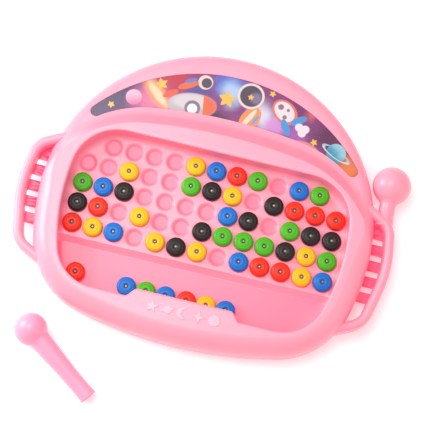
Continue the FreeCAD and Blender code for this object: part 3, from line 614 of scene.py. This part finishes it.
def helmet_top():
    """Rim round the opening with its tab, brow, slope and arch, as one closed ring."""
    hole = visor(0, OPENING_FRONT_ROUND)
    seat = tray_outline(TRAY_WALL + TRAY_CLEARANCE)
    sections = []
    for origin, direction in rays():
        inner, outer = crossing(hole, origin, direction), crossing(OUTLINE, origin, direction)
        if direction[1] < -0.999:
            inner -= TAB_REACH * float(tab(origin[0]))
        sections.append((origin, direction, inner, outer, crossing(seat, origin, direction)))
    rim = np.array([float(deck(*(o + d * out))) for o, d, _, out, _ in sections])
    rim = (rim - ARCH_TOP) / (RIM_TOP - ARCH_TOP)
    rim = np.mean([np.roll(rim, shift) for shift in range(-4, 5)], axis=0)

    plan, size = [], None
    for (origin, direction, inner, outer, wall), share in zip(sections, rim):
        width = ARCH_ROLL[0] + (RIM_ROLL[0] - ARCH_ROLL[0]) * share
        start, end = inner + EDGE_ROUND, outer - width
        if end < start + 2:
            end = start + 2
            width = outer - end
        crease = np.clip(line_crossing(origin, direction, start, end, CREASE), 0.05, 0.90)
        slope = np.clip(line_crossing(origin, direction, start, end, SLOPE), crease + 0.04, 0.96)
        shares = np.concatenate([
            np.linspace(0, crease, BROW_STATIONS, endpoint=False),
            np.linspace(crease, slope, SLOPE_STATIONS, endpoint=False),
            np.linspace(slope, 1, ARCH_STATIONS, endpoint=False)])
        edge = [inner + EDGE_ROUND * (1 - math.cos(a))
                for a in np.linspace(0, math.pi / 2, EDGE_STEPS, endpoint=False)]
        rolled = [outer - width * (1 - math.sin(a)) for a in np.linspace(0, math.pi / 2, ROLL_STEPS)]
        stations = np.array(edge + list(start + (end - start) * shares) + rolled)
        size = len(stations)
        plan.append((origin + direction * stations[:, None], stations - inner, width, share))

    flat = np.vstack([points for points, *_ in plan])
    gaps = away(flat, OUTLINE).reshape(len(plan), size)
    points = []
    for index, (places, inside, width, share) in enumerate(plan):
        drop = ARCH_ROLL[1] + (RIM_ROLL[1] - ARCH_ROLL[1]) * share
        heights = deck(places[:, 0], places[:, 1]) - roll(gaps[index], width, drop)
        short = np.clip(1 - inside / EDGE_ROUND, 0, 1)
        heights = heights - EDGE_ROUND * (1 - np.sqrt(1 - short ** 2))
        points += [(x, y, z) for (x, y), z in zip(places, heights)]
        origin, direction, inner, outer, wall = sections[index]
        seam = outer - SEAM_INSET
        under = [(outer, SPLIT_Z + SEAM_TOP), (seam, SPLIT_Z + SEAM_BOTTOM), (seam, SPLIT_Z),
                 (wall, SPLIT_Z), (wall, LIP_BOTTOM), (inner, LIP_BOTTOM)]
        points += [(*(origin + direction * along), z) for along, z in under]
    made = solid("helmet_top", points, tube_faces(len(plan), size + len(under), True), SHELL)
    carve(made, crescent(), PICTURE_FLOOR, RIM_TOP + 2)
    return made


def prism_faces(count):
    """Faces of a prism whose bottom ring comes before its top ring."""
    sides = [(i, (i + 1) % count, count + (i + 1) % count, count + i) for i in range(count)]
    return sides + [tuple(range(count))[::-1], tuple(range(count, 2 * count))]


def carve(piece, outline, bottom, top):
    """Cuts an upright pocket of the given outline into a piece."""
    points = [(x, y, z) for z in (bottom, top) for x, y in outline]
    cutter = solid("pocket", points, prism_faces(len(outline)), SHELL)
    modifier = piece.modifiers.new("pocket", "BOOLEAN")
    modifier.operation, modifier.solver, modifier.object = "DIFFERENCE", "EXACT", cutter
    cut = apply_modifiers(piece)
    cut.shade_smooth()
    cut.set_sharp_from_angle(angle=SHARP)
    bpy.data.objects.remove(cutter)


# ---- tray

FLOOR_ROUND, SOCKET_GUARD, SOCKET_STEPS = 3.0, 8.05, 40
# A face whose middle lies inside this share of the guard ring belongs to the socket.
SOCKET_INSIDE = 0.9945
WALL_INSETS, FRONT_INSETS = (0.12, 0.4, 0.8, 1.3), (2.1, 3.05)
CORNER_POINTS = [(93, 31.5), (97, 28), (90, 36.5), (101, 25.5)]
STEP_LINES, STEP_LINE_REACH = (-42.2, STEP_BACK, -44.1, -45.25, -46.4, STEP_FRONT, -48.3), 103.8
SOCKET_SHARES = (0, 0.15, 0.32, 0.5, 0.68, 0.85, 1, 1.35)


def floor_height(y):
    """Field, step and trough, seen from the side."""
    share = (STEP_BACK - y) / (STEP_BACK - STEP_FRONT)
    share = np.clip(0.5 * np.clip(share, 0, 1) + 0.5 * smooth(share), 0, 1)
    return FIELD_Z - (FIELD_Z - TROUGH_Z) * share


def sockets():
    """Middle of every socket in the field, and how far out its flat floor reaches."""
    for row, letters in enumerate(FIELD):
        for column, letter in enumerate(letters):
            if letter != "x":
                yield ((column - (COLUMNS - 1) / 2) * PITCH, (row - (len(FIELD) - 1) / 2) * PITCH,
                       SOCKET_DISH if letter == "." else SOCKET_FLOOR)


def bead_tray_piece():
    """Socketed field, step, trough and walls as one closed piece."""
    wall = tray_outline()
    flat, edges, rings = [], [], {}

    def add_loop(points, closed=True):
        first = len(flat)
        flat.extend(Vector((float(x), float(y))) for x, y in points)
        count = len(points)
        edges.extend((first + i, first + (i + 1) % count) for i in range(count if closed else count - 1))
        return list(range(first, first + count))

    border = add_loop(wall)
    for inset in WALL_INSETS:
        add_loop(tray_outline(-inset)[::2])
    for inset in FRONT_INSETS:
        loop = tray_outline(-inset)
        loop = np.roll(loop, -int(np.argmax(loop[:, 1] >= STEP_FRONT - 2)), axis=0)
        add_loop(loop[loop[:, 1] < STEP_FRONT - 2][::2], closed=False)
    flat.extend(Vector((side * x, y)) for side in (1, -1) for x, y in CORNER_POINTS)
    for y in STEP_LINES:
        add_loop([(x, y) for x in np.linspace(-STEP_LINE_REACH, STEP_LINE_REACH, 90)], closed=False)
    turn = np.radians(np.arange(SOCKET_STEPS) * 360 / SOCKET_STEPS)
    for x, y, flat_to in sockets():
        rings[x, y, flat_to] = add_loop(np.column_stack([x + SOCKET_GUARD * np.cos(turn),
                                                y + SOCKET_GUARD * np.sin(turn)]))
    made = delaunay_2d_cdt(flat, edges, [border], 1, 1e-4, True)
    spots = np.array([tuple(v) for v in made[0]])
    index_of = {old: new for new, olds in enumerate(made[3]) for old in olds}
    centres = np.array([(x, y) for x, y, _ in sockets()])
    faces = []
    for face in made[2]:
        middle = spots[list(face)].mean(axis=0)
        if np.hypot(*(centres - middle).T).min() > SOCKET_GUARD * SOCKET_INSIDE:
            faces.append(tuple(face))
    gaps = away(spots, wall)
    short = np.clip(1 - gaps / FLOOR_ROUND, 0, 1)
    heights = floor_height(spots[:, 1]) + FLOOR_ROUND * (1 - np.sqrt(1 - short ** 2))
    points = [(x, y, z) for (x, y), z in zip(spots, heights)]

    for (x, y, flat_to), ring in rings.items():
        before = [index_of[i] for i in ring]
        for share in SOCKET_SHARES:
            radius = SOCKET_RIM - (SOCKET_RIM - flat_to) * share
            depth = SOCKET_DEPTH * float(smooth(share))
            here = list(range(len(points), len(points) + SOCKET_STEPS))
            points += [(x + radius * math.cos(a), y + radius * math.sin(a), FIELD_Z - depth) for a in turn]
            for i in range(SOCKET_STEPS):
                onward = (i + 1) % SOCKET_STEPS
                faces.append((before[i], before[onward], here[onward], here[i]))
            before = here
        faces.append(tuple(before))

    edge = [index_of[i] for i in border]
    outside = tray_outline(TRAY_WALL)
    for outline, z in ((wall, LIP_BOTTOM - 0.15), (outside, LIP_BOTTOM - 0.15), (outside, TROUGH_Z - 2)):
        here = list(range(len(points), len(points) + len(outline)))
        points += [(x, y, z) for x, y in outline]
        for i in range(len(outline)):
            onward = (i + 1) % len(outline)
            faces.append((edge[i], edge[onward], here[onward], here[i]))
        edge = here
    faces.append(tuple(edge))
    return solid("tray_liner", points, faces, TRAY)


# ---- small solids

def symbol_outlines():
    """Five plain marks, as loops: star, ringed planet, moon, four-pointed star and stepped disc."""
    half = SYMBOL_SIZE / 2

    def star(points, outer, inner):
        corners = []
        for index in range(2 * points):
            radius = outer if index % 2 == 0 else inner
            angle = math.pi / 2 + math.pi * index / points
            corners.append((radius * math.cos(angle), radius * math.sin(angle)))
        return corners

    def ring(radius, x=0.0, y=0.0, squash=1.0, tilt=0.0, steps=40):
        loop = []
        for a in np.linspace(0, 2 * math.pi, steps, endpoint=False):
            u, v = radius * math.cos(a), radius * squash * math.sin(a)
            loop.append((x + u * math.cos(tilt) - v * math.sin(tilt),
                         y + u * math.sin(tilt) + v * math.cos(tilt)))
        return loop

    def moon(outer, inner, off):
        meet = (outer ** 2 - inner ** 2 + off ** 2) / (2 * off)
        a, b = math.acos(meet / outer), math.acos((meet - off) / inner)
        loop = [(outer * math.cos(t), outer * math.sin(t)) for t in np.linspace(a, 2 * math.pi - a, 30)]
        return loop + [(off + inner * math.cos(t), inner * math.sin(t))
                       for t in np.linspace(2 * math.pi - b, b, 26)[1:-1]]

    return [[star(5, half, half * 0.45)],
            [ring(half * 0.62), ring(half, squash=0.26, tilt=0.35)],
            [moon(half * 0.92, half * 0.8, half * 0.5)],
            [star(4, half, half * 0.36)],
            [ring(half * 0.9), ring(half * 0.28)]]


def ground_below(x, y):
    """Height of the rolled top at one point of the front lip."""
    gap = float(away(np.array([[x, y]]), OUTLINE)[0])
    return float(deck(x, y)) - float(roll(gap, *RIM_ROLL))


def raised_symbols():
    """The marks, standing about half a millimetre out of the front lip and following it."""
    points, faces = [], []
    for index, loops in enumerate(symbol_outlines()):
        x0 = SYMBOL_SHIFT + (index - 2) * SYMBOL_PITCH
        for number, loop in enumerate(loops):
            count = len(loop)
            first = len(points)
            middle = (sum(x for x, _ in loop) / count, sum(y for _, y in loop) / count)
            rise = 0.45 + 0.1 * number
            for lift, shrink in ((-0.8, 1.0), (rise - 0.2, 1.0), (rise, 0.94)):
                for x, y in loop:
                    px = x0 + middle[0] + (x - middle[0]) * shrink
                    py = SYMBOL_Y + middle[1] + (y - middle[1]) * shrink
                    points.append((px, py, ground_below(px, py) + lift))
            faces += [tuple(first + i for i in face) for face in capped(3, count)]
    return solid("lip_symbols", points, faces, MARK_HIGHLIGHT, math.radians(30))


def picture_piece(material):
    """The printed crescent, its top edge lightly bevelled."""
    wide, narrow = crescent(PICTURE_CLEARANCE), crescent(PICTURE_CLEARANCE + 0.15)
    count = len(wide)
    points = [(x, y, PICTURE_FLOOR) for x, y in wide] + [(x, y, PICTURE_TOP - 0.15) for x, y in wide]
    points += [(x, y, PICTURE_TOP) for x, y in narrow]
    return solid("picture_print", points, capped(3, count), material)


def grip(name, side):
    """Upper half of a handle: a rounded bar that leaves the helmet and comes back to it."""
    corners = [(HALF_WIDTH + x, y, radius) for x, y, radius in HANDLE]
    path = rounded([corners[1], *corners[2:], corners[0]], 22)
    along = np.gradient(path, axis=0)
    along /= np.linalg.norm(along, axis=1)[:, None]
    out = np.column_stack([along[:, 1], -along[:, 0]])
    path = path - out * HANDLE_BAR / 2
    half, flat = HANDLE_BAR / 2, HANDLE_BAR / 2 - HANDLE_ROUND
    shape = [(half, SPLIT_Z), (half, SPLIT_Z + 2)]
    shape += [(flat + HANDLE_ROUND * math.cos(a), HANDLE_TOP - HANDLE_ROUND * (1 - math.sin(a)))
              for a in np.linspace(0, math.pi / 2, 8)]
    shape += [(-x, z) for x, z in shape[::-1]]
    points = []
    for (x, y), (nx, ny) in zip(path, out):
        points += [(side * (x + nx * across), y + ny * across, z) for across, z in shape]
    return solid(name, points, capped(len(path), len(shape)), SHELL)


def antenna_piece():
    """Ball on a neck that flares where it stands in the handle."""
    meet = math.sqrt(BALL_RADIUS ** 2 - NECK_RADIUS ** 2)
    first = math.acos(meet / BALL_RADIUS)
    profile = [(BALL_RADIUS * math.sin(a), BALL_RADIUS * math.cos(a))
               for a in np.linspace(0, math.pi - first - 0.12, 30)]
    profile += [(NECK_RADIUS + 1.0, -meet - 0.2), (NECK_RADIUS + 0.35, -meet - 0.9),
                (NECK_RADIUS, -meet - 2.2), (NECK_RADIUS, -20.0), (NECK_RADIUS + 0.15, -24.0),
                (NECK_RADIUS + 0.5, -27.0), (NECK_RADIUS + 0.9, -29.5), (NECK_RADIUS + 0.9, -33.5),
                (0.0, -33.5)]
    place = Matrix.Translation((ANTENNA_X, BALL_Y, ANTENNA_Z)) @ Matrix.Rotation(-math.pi / 2, 4, "X")
    return lathe("antenna_ball", profile, 72, place, SHELL)


def pen_place():
    """The pen lies on its ball and on the rim of its tip."""
    dip = math.asin(PEN_HEAD / math.hypot(PEN_REACH, PEN_TIP)) - math.atan2(PEN_TIP, PEN_REACH)
    return (Matrix.Translation(PEN_PLACE) @ Matrix.Rotation(math.radians(PEN_TURN), 4, "Z")
            @ Matrix.Rotation(math.pi / 2 + dip, 4, "Y"))


def pen_piece():
    """Ball head, waisted shaft, rounded tip and the recess of the magnet."""
    neck_z = math.sqrt(PEN_HEAD ** 2 - PEN_NECK ** 2)
    last = math.acos(neck_z / PEN_HEAD)
    profile = [(PEN_HEAD * math.sin(a), -PEN_HEAD * math.cos(a)) for a in np.linspace(0, math.pi - last, 30)]
    flank = np.polyfit([neck_z, PEN_REACH * 0.4, PEN_REACH * 0.72, PEN_REACH - 1],
                       [PEN_NECK, (PEN_NECK + PEN_WAIST) / 2, PEN_WAIST, PEN_TIP], 3)
    profile += [(float(np.polyval(flank, z)), z) for z in np.linspace(neck_z + 0.6, PEN_REACH - 1, 20)]
    profile += [(PEN_TIP - (1 - math.cos(a)), PEN_REACH - 1 + math.sin(a))
                for a in np.linspace(0.2, math.pi / 2, 5)]
    bottom = MAGNET_FACE - MAGNET_HEIGHT
    profile += [(PEN_RECESS + 0.3, PEN_REACH), (PEN_RECESS, PEN_REACH - 0.3), (PEN_RECESS, MAGNET_FACE),
                (MAGNET, MAGNET_FACE), (MAGNET, bottom), (0, bottom)]
    return lathe("pen_body", profile, 72, pen_place(), PEN)


def magnet_piece():
    """The disc magnet, just clear of the bottom of its bore."""
    bottom = MAGNET_FACE - MAGNET_HEIGHT + 0.1
    profile = [(0, MAGNET_FACE), (MAGNET - 0.3, MAGNET_FACE), (MAGNET, MAGNET_FACE - 0.3),
               (MAGNET, bottom), (0, bottom)]
    return lathe("pen_magnet_disc", profile, 48, pen_place(), MAGNET_METAL)


def bead_piece(node, colour):
    """A bead: rounded plastic ring with a groove, its locating boss and its steel core."""
    low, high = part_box(node)
    x, y, z = (low.x + high.x) / 2 / MM, (low.y + high.y) / 2 / MM, low.z / MM
    outer, boss = BEAD / 2, BEAD / 2 - 1.3
    profile = [(0, 0), (boss - 0.4, 0), (boss, 0.4), (boss, 1.6), (outer - 0.5, 1.6), (outer - 0.12, 1.75),
               (outer, 2.1), (outer, 3.7)]
    profile += [(outer - 2.3 * (1 - math.cos(a)), 3.7 + 2.3 * math.sin(a))
                for a in np.linspace(0.2, math.pi / 2, 7)]
    profile += [(5.15, 6.0), (4.95, 5.86), (4.72, 5.86), (4.5, 6.0), (2.3, 6.0), (1.95, 5.9),
                (1.7, 5.6), (1.65, 5.2), (1.2, 5.1), (1.1, 5.25), (0.85, 5.35), (0.7, 5.45), (0, 5.5)]
    kinds = [0] * (len(profile) - 1)
    # The hole's floor and the rim of the core take the shaded steel copy, painted shade; the core's middle
    # takes plain steel.
    kinds[-5:] = [2, 2, 2, 1, 1]
    name = node.replace("bead_", "") + "_bead"
    return lathe(name, profile, 48, Matrix.Translation((x, y, z)),
                 [BEAD_COLOURS[colour], STEEL, STEEL_PAINTED_SHADE], kinds, math.radians(50))


def smoothed_copy(node, name, material):
    """A carried-over part with its loose triangles merged and its rounds shaded smoothly."""
    mesh = frame["nodes"][node].data.copy()
    mesh.materials.clear()
    merge(mesh, False)
    made = as_piece(name, mesh, material, math.radians(30))
    made.modifiers.new("weights", "WEIGHTED_NORMAL").keep_sharp = True
    apply_modifiers(made)
    return made


# ---- screws and feet, by geometry nodes

class Tree(Nodes):
    """A geometry node tree with named sizes, in metres."""

    def __init__(self, name, sizes):
        super().__init__(bpy.data.node_groups.new(name, "GeometryNodeTree"))
        self.sizes = sizes
        face = self.tree.interface
        face.new_socket("Geometry", in_out="INPUT", socket_type="NodeSocketGeometry")
        for label, value in sizes.items():
            face.new_socket(label, in_out="INPUT", socket_type="NodeSocketFloat").default_value = value
        face.new_socket("Geometry", in_out="OUTPUT", socket_type="NodeSocketGeometry")
        self.start = self.node("NodeGroupInput")
        self.keys = {item.name: item.identifier for item in face.items_tree if item.in_out == "INPUT"}

    def size(self, label):
        return Level(self, self.start.outputs[label])

    def drum(self, low_radius, high_radius, height, base):
        """A tapered disc standing at height base, its top and bottom radius given."""
        cone = self.node("GeometryNodeMeshCone", {"fill_type": "NGON"}, {
            "Vertices": 40, "Radius Bottom": low_radius, "Radius Top": high_radius, "Depth": height})
        lift = self.node("ShaderNodeCombineXYZ", None, {"Z": base})
        moved = self.node("GeometryNodeTransform", None, {
            "Geometry": cone.outputs["Mesh"], "Translation": lift.outputs[0]})
        return moved.outputs[0]

    def finish(self, parts, material):
        """Puts the joined parts on every point, makes them real and gives them their material."""
        joined = self.node("GeometryNodeJoinGeometry", None, {0: parts})
        spread = self.node("GeometryNodeInstanceOnPoints", None, {
            "Points": self.start.outputs["Geometry"], "Instance": joined.outputs[0]})
        real = self.node("GeometryNodeRealizeInstances", None, {0: spread.outputs[0]})
        painted = self.node("GeometryNodeSetMaterial", None, {0: real.outputs[0], "Material": material})
        self.node("NodeGroupOutput", None, {0: painted.outputs[0]})


def spread_by(tree, name, places):
    """Runs a tree on points and keeps the result as a plain mesh."""
    mesh = bpy.data.meshes.new(name)
    mesh.from_pydata([tuple(c * MM for c in place) for place in places], [], [])
    made = placed(name, mesh)
    modifier = made.modifiers.new("spread", "NODES")
    modifier.node_group = tree.tree
    for label, value in tree.sizes.items():
        modifier[tree.keys[label]] = value
    made.update_tag()
    result = apply_modifiers(made)
    result.shade_smooth()
    result.set_sharp_from_angle(angle=math.radians(30))
    return made


SCREW_Z, CROWN_SCREWS, SIDE_SCREW, FRONT_SCREW = 2.0, (43, 73), 4, 9
CROWN_SCREW_INSET, SIDE_SCREW_INSET, FRONT_SCREW_INSET = 14.0, 9.5, 13.5
FOOT_X, FOOT_BACK, FOOT_FRONT = 85.5, 55.0, -70.0


def screw_places():
    """Eight places, set in from the arcs of the outline at angles in degrees."""
    crown, side = HALF_WIDTH - CROWN_SCREW_INSET, SIDE_ROUND - SIDE_SCREW_INSET
    right = [(crown * math.cos(math.radians(a)), CROWN_MIDDLE + crown * math.sin(math.radians(a)))
             for a in CROWN_SCREWS]
    turn = math.radians(SIDE_SCREW)
    right.append((SIDE_X + side * math.cos(turn), CROWN_MIDDLE - side * math.sin(turn)))
    radius = front_arcs()[-1]
    near, turn = radius - FRONT_SCREW_INSET, math.radians(FRONT_SCREW)
    right.append((near * math.sin(turn), radius - FRONT - near * math.cos(turn)))
    return right + [(-x, y) for x, y in right]


def screws():
    """Eight pan-head screws, head down in their recesses under the board."""
    tree = Tree("pan_head_screw", {"Head": 0.0026, "Shank": 0.0013})
    head, shank = tree.size("Head"), tree.size("Shank")
    rim, drive = head * 0.998, head * 0.35
    parts = [tree.drum(head * 0.75, head, 0.0008, 0.0), tree.drum(rim, rim, 0.00125, 0.00075),
             tree.drum(shank, shank, 0.0126, 0.0019), tree.drum(shank * 0.99, 0.0003, 0.0015, 0.0144),
             tree.drum(drive, drive, 0.0002, -0.00015)]
    tree.finish(parts, SCREW_METAL)
    return spread_by(tree, "under_screws", [(x, y, SCREW_Z) for x, y in screw_places()])


def feet():
    """Four rubber feet with a softened rim, standing on the table."""
    tree = Tree("round_foot", {"Radius": 0.007, "Rim": 0.0006})
    radius, rim = tree.size("Radius"), tree.size("Rim")
    wall = radius * 0.999
    parts = [tree.drum(radius - rim, radius, rim, 0.0), tree.drum(wall, wall, 0.00215, 0.00055)]
    tree.finish(parts, RUBBER)
    places = [(side * FOOT_X, y, 0.0) for side in (1, -1) for y in (FOOT_BACK, FOOT_FRONT)]
    return spread_by(tree, "table_feet", places)


# ---- printed space picture

# Glows are (x, y, radius, colour, strength); stars are (x, y, radius, turn).
GLOWS = [
    (-62, 76, 22, (0.80, 0.20, 0.38), 1.0), (-50, 98, 24, (0.62, 0.03, 0.05), 0.9),
    (-30, 92, 16, (0.10, 0.08, 0.32), 0.9), (-6, 104, 20, (0.10, 0.20, 0.72), 1.0),
    (-2, 96, 15, (0.50, 0.72, 0.95), 0.95), (-9, 72, 12, (0.05, 0.02, 0.07), 0.9),
    (26, 84, 17, (0.78, 0.80, 0.96), 1.0), (36, 78, 13, (0.75, 0.32, 0.78), 0.9),
    (52, 96, 16, (0.22, 0.03, 0.16), 0.9), (60, 94, 9, (0.90, 0.20, 0.16), 0.7),
    (52, 74, 14, (0.45, 0.14, 0.55), 0.8), (78, 80, 16, (0.13, 0.02, 0.09), 0.9),
    (101, 57, 17, (0.92, 0.24, 0.07), 1.0),
]
STARS = [(-92.5, 64.1, 2.9, 0.2), (-58.1, 90.0, 5.0, 0.5), (-5.5, 90.1, 7.0, -0.3),
         (28.4, 102.8, 2.8, 0.1), (68.3, 71.9, 3.0, 0.4), (12.3, 96.0, 2.6, 0.9)]


SUIT, TRIM, CREAM = (0.93, 0.34, 0.10), (0.12, 0.42, 0.80), (0.93, 0.86, 0.88)


def space_print():
    """Crescent print: nebula colours, a meteor, a rocket, a ringed planet, stars and figures.

    The two visors, the suit shapes by them and the spotted round piece with its fins read as
    figures. They aren't generic enough and still have to be redrawn.
    """
    paint = Paint("picture_space")
    where, (x, y, _) = paint.place()
    warp = paint.noise(where, 0.07, 4.0) - 0.5
    drift = paint.noise(where, 0.045, 3.0) - 0.5
    wx, wy = x + warp * 16.0, y + drift * 16.0
    colour = paint.mix(paint.step(wx, -90.0, -60.0), rgb(0.075, 0.035, 0.13), rgb(0.26, 0.05, 0.22))
    colour = paint.mix(paint.step(wx, 60.0, 100.0), colour, rgb(0.20, 0.03, 0.12))

    def cover(mask, tint):
        """Lays a colour, or another layer's output, over what is there."""
        nonlocal colour
        colour = paint.mix(mask, colour, rgb(*tint) if isinstance(tint, tuple) else tint)

    def reach(cx, cy, u=x, v=y):
        dx, dy = u - cx, v - cy
        return (dx * dx + dy * dy).math("SQRT")

    def disc(cx, cy, radius, soft=0.35):
        return 1 - paint.step(reach(cx, cy), radius - soft, radius + soft)

    def leaning(cx, cy, angle):
        """Coordinates about a point, turned by an angle in degrees."""
        c, s = math.cos(math.radians(angle)), math.sin(math.radians(angle))
        dx, dy = x - cx, y - cy
        return dx * c + dy * s, dy * c - dx * s

    def stretch(u, v, a, b):
        """1 on an oval's edge, less inside it."""
        return ((u / a) * (u / a) + (v / b) * (v / b)).math("SQRT")

    def oval(u, v, a, b, soft=0.06):
        return 1 - paint.step(stretch(u, v, a, b), 1 - soft, 1 + soft)

    for cx, cy, radius, tint, strength in GLOWS:
        mask = 1 - paint.step(reach(cx, cy, wx, wy), radius * 0.15, radius)
        cover(mask * strength, tint)
    dust = paint.step(paint.noise(where, 0.9, 2.0), 0.70, 0.78)
    cover(dust * 0.55, (0.85, 0.80, 0.95))

    # meteor and small pink planet
    u, v = leaning(-60.0, 81.5, -42.0)
    cover(oval(u, v + warp * 5.0, 17.0, 6.0, 0.35) * 0.9, (0.95, 0.40, 0.16))
    cover(oval(u - 1.0, v + warp * 4.0, 12.0, 3.0, 0.4), (0.98, 0.76, 0.45))
    ball = paint.mix(paint.step(y - x * 0.3, 90.0, 101.0), rgb(0.88, 0.16, 0.36), rgb(0.95, 0.55, 0.68))
    cover(disc(-76.8, 74.2, 6.3), ball)

    # rocket with its nose, fin and window
    u, v = leaning(-31.0, 78.5, 8.0)
    cover(oval(u, v, 19.0, 10.0), (0.55, 0.52, 0.54))
    cover(oval(u, v - 3.0, 16.0, 6.0, 0.3) * 0.6, (0.85, 0.83, 0.84))
    cover(oval(u, v, 19.0, 10.0) * paint.step(u, 8.2, 9.0), (0.90, 0.16, 0.06))
    cover(oval(*leaning(-49.5, 84.0, 35.0), 6.5, 2.6), (0.85, 0.13, 0.05))
    cover(disc(-30.3, 76.5, 6.2), (0.22, 0.20, 0.24))
    cover(disc(-30.3, 76.0, 4.0), (0.95, 0.95, 0.97))

    # small visor, then its suit shapes
    cover(disc(-25.0, 99.4, 5.9), (0.86, 0.74, 0.62))
    cover(disc(-24.0, 99.0, 4.1), (0.10, 0.07, 0.11))
    u, v = leaning(-37.5, 94.0, 28.0)
    cover(oval(u, v, 8.5, 2.7), (0.85, 0.17, 0.06))
    cover(oval(u - 3.0, v - 3.2, 5.0, 1.6), (0.12, 0.25, 0.66))

    # suit shapes, then the large visor over them
    u, v = leaning(15.5, 78.5, 62.0)
    cover(oval(u, v, 11.0, 7.0), SUIT)
    cover(oval(u, v - 1.0, 9.0, 2.0), (0.93, 0.80, 0.62))
    cover(oval(u - 2.0, v + 3.6, 5.0, 1.1), TRIM)
    cover(disc(12.3, 96.9, 10.6), (0.88, 0.80, 0.68))
    cover(disc(12.3, 96.9, 8.7),
          paint.mix(disc(16.5, 96.0, 4.5, 2.2), rgb(0.085, 0.06, 0.10), rgb(0.25, 0.20, 0.36)))

    # spotted round piece, its fins, three pale lobes and a glow at the slope
    u, v = leaning(41.0, 90.5, -38.0)
    cover(oval(u, v, 11.5, 8.6), (0.90, 0.20, 0.14))
    cover(oval(u + 0.6, v, 9.2, 6.8), CREAM)
    for spot in ((37.0, 94.0, 2.3), (43.2, 92.6, 1.3), (41.6, 86.4, 1.7)):
        cover(disc(*spot), (0.30, 0.20, 0.26))
    for fin in ((53.0, 86.0, 35.0), (44.0, 78.5, -60.0)):
        cover(oval(*leaning(*fin), 7.0, 2.9), (0.07, 0.36, 0.76))
    for lobe in ((54.5, 81.0), (59.5, 80.5), (57.5, 77.0)):
        cover(disc(*lobe, 3.3), CREAM)
    cover(disc(60.0, 51.0, 20.0, 0.8), (0.90, 0.28, 0.30))

    # ringed planet: the far half of its ring, the ball, the near half
    sea = paint.mix(paint.step(y + x * 0.4 + warp * 20.0, 98.0, 108.0),
                    rgb(0.06, 0.36, 0.50), rgb(0.34, 0.72, 0.80))
    u, v = leaning(87.0, 67.0, -24.0)
    loop = 1 - paint.step(abs(stretch(u, v, 13.0, 3.6) - 0.9), 0.06, 0.14)
    far = paint.step(v, -0.5, 0.5)
    cover(loop * far, (0.35, 0.66, 0.80))
    cover(disc(87.0, 67.5, 7.7), sea)
    cover(loop * (1 - far), (0.62, 0.82, 0.88))

    fifth = 2 * math.pi / 5
    for cx, cy, radius, turn in STARS:
        angle = paint.math("ARCTAN2", y - cy, x - cx) + (turn + 10.0)
        fold = abs(paint.math("MODULO", angle, fifth) - fifth / 2) / (fifth / 2)
        limit = radius * (0.52 + 0.48 * fold.math("POWER", 1.4))
        cover(1 - paint.step(reach(cx, cy) - limit, -0.25, 0.3), (0.95, 0.60, 0.08))

    fade = paint.mix(1.0, colour, rgb(0.82, 0.74, 0.77), "MULTIPLY")
    grain = paint.noise(where, 2.2, 2.0)
    return paint.shade(fade, 0.30 + grain * 0.08, (grain, SKIN_DEPTH, 0.1),
                       Coat_Weight=0.25, Coat_Roughness=0.1)


# ---- put together

def keep(piece, body, nodes):
    """A piece rides on a body and stands for its design nodes, which are hidden."""
    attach(piece, body)
    if nodes:
        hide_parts(*nodes)


body_of = {node: body for body, nodes in frame["record"]["behaviour"]["bodies"].items() for node in nodes}

keep(helmet_top(), "root", ["upper_shell"])
keep(raised_symbols(), "root", [])
keep(bead_tray_piece(), "root", ["bead_tray"])
keep(picture_piece(space_print()), "root", ["picture_panel"])
keep(smoothed_copy("lower_shell", "base_pan", BASE), "root", ["lower_shell"])
keep(grip("grip_right", 1), "root", [])
keep(grip("grip_left", -1), "root", [])
keep(antenna_piece(), "root", ["antenna"])
keep(screws(), "root", ["case_screws"])
keep(feet(), "root", ["rubber_feet"])
keep(pen_piece(), "pen", ["pen_barrel"])
keep(magnet_piece(), "pen", ["pen_magnet"])
for node in sorted(frame["nodes"]):
    if node.startswith("bead_") and node != "bead_tray":
        shade = node.split("_")[1]
        keep(bead_piece(node, shade), body_of[node], [node])

# ---- floor and light


FLOOR_REACH, FLOOR_GLOW, SKY_STRENGTH = 15, 0.24, 0.55
# Name, place, size of the disc and power of each light; all aim at the origin.
LIGHTS = [("key_left", (-0.80, 0.10, 0.45), 0.55, 6.6), ("overhead", (-0.3, 0.15, 1.4), 0.7, 7.4),
          ("fill_right", (1.0, -0.2, 0.8), 0.8, 1.5)]


def table_top():
    """Plain pale floor, larger than the view from above. It gives off a little light."""
    paint = Paint("table_white")
    where, _ = paint.place()
    cloud = paint.noise(where, 0.01, 2.0)
    white = paint.mix(cloud, rgb(0.93, 0.93, 0.93), rgb(0.95, 0.95, 0.95))
    paint.shade(white, 0.75 + cloud * 0.05, Emission_Color=rgb(1, 1, 1), Emission_Strength=FLOOR_GLOW)
    mesh = bpy.data.meshes.new("table")
    corners = [(x * FLOOR_REACH, y * FLOOR_REACH, 0) for x, y in ((-1, -1), (1, -1), (1, 1), (-1, 1))]
    mesh.from_pydata(corners, [], [(0, 1, 2, 3)])
    mesh.materials.append(paint.material)
    placed("table", mesh)


def studio():
    """White surroundings and three soft lights."""
    world = bpy.data.worlds.new("studio")
    world.use_nodes = True
    back = world.node_tree.nodes["Background"]
    back.inputs["Color"].default_value = (1, 1, 1, 1)
    back.inputs["Strength"].default_value = SKY_STRENGTH
    bpy.context.scene.world = world
    for name, place, size, power in LIGHTS:
        data = bpy.data.lights.new(name, "AREA")
        data.shape, data.size, data.energy = "DISK", size, power
        made = placed(name, data)
        made.location = place
        made.rotation_euler = (-Vector(place)).to_track_quat("-Z", "Y").to_euler()
    bpy.context.scene.view_settings.view_transform = "Standard"


table_top()
studio()
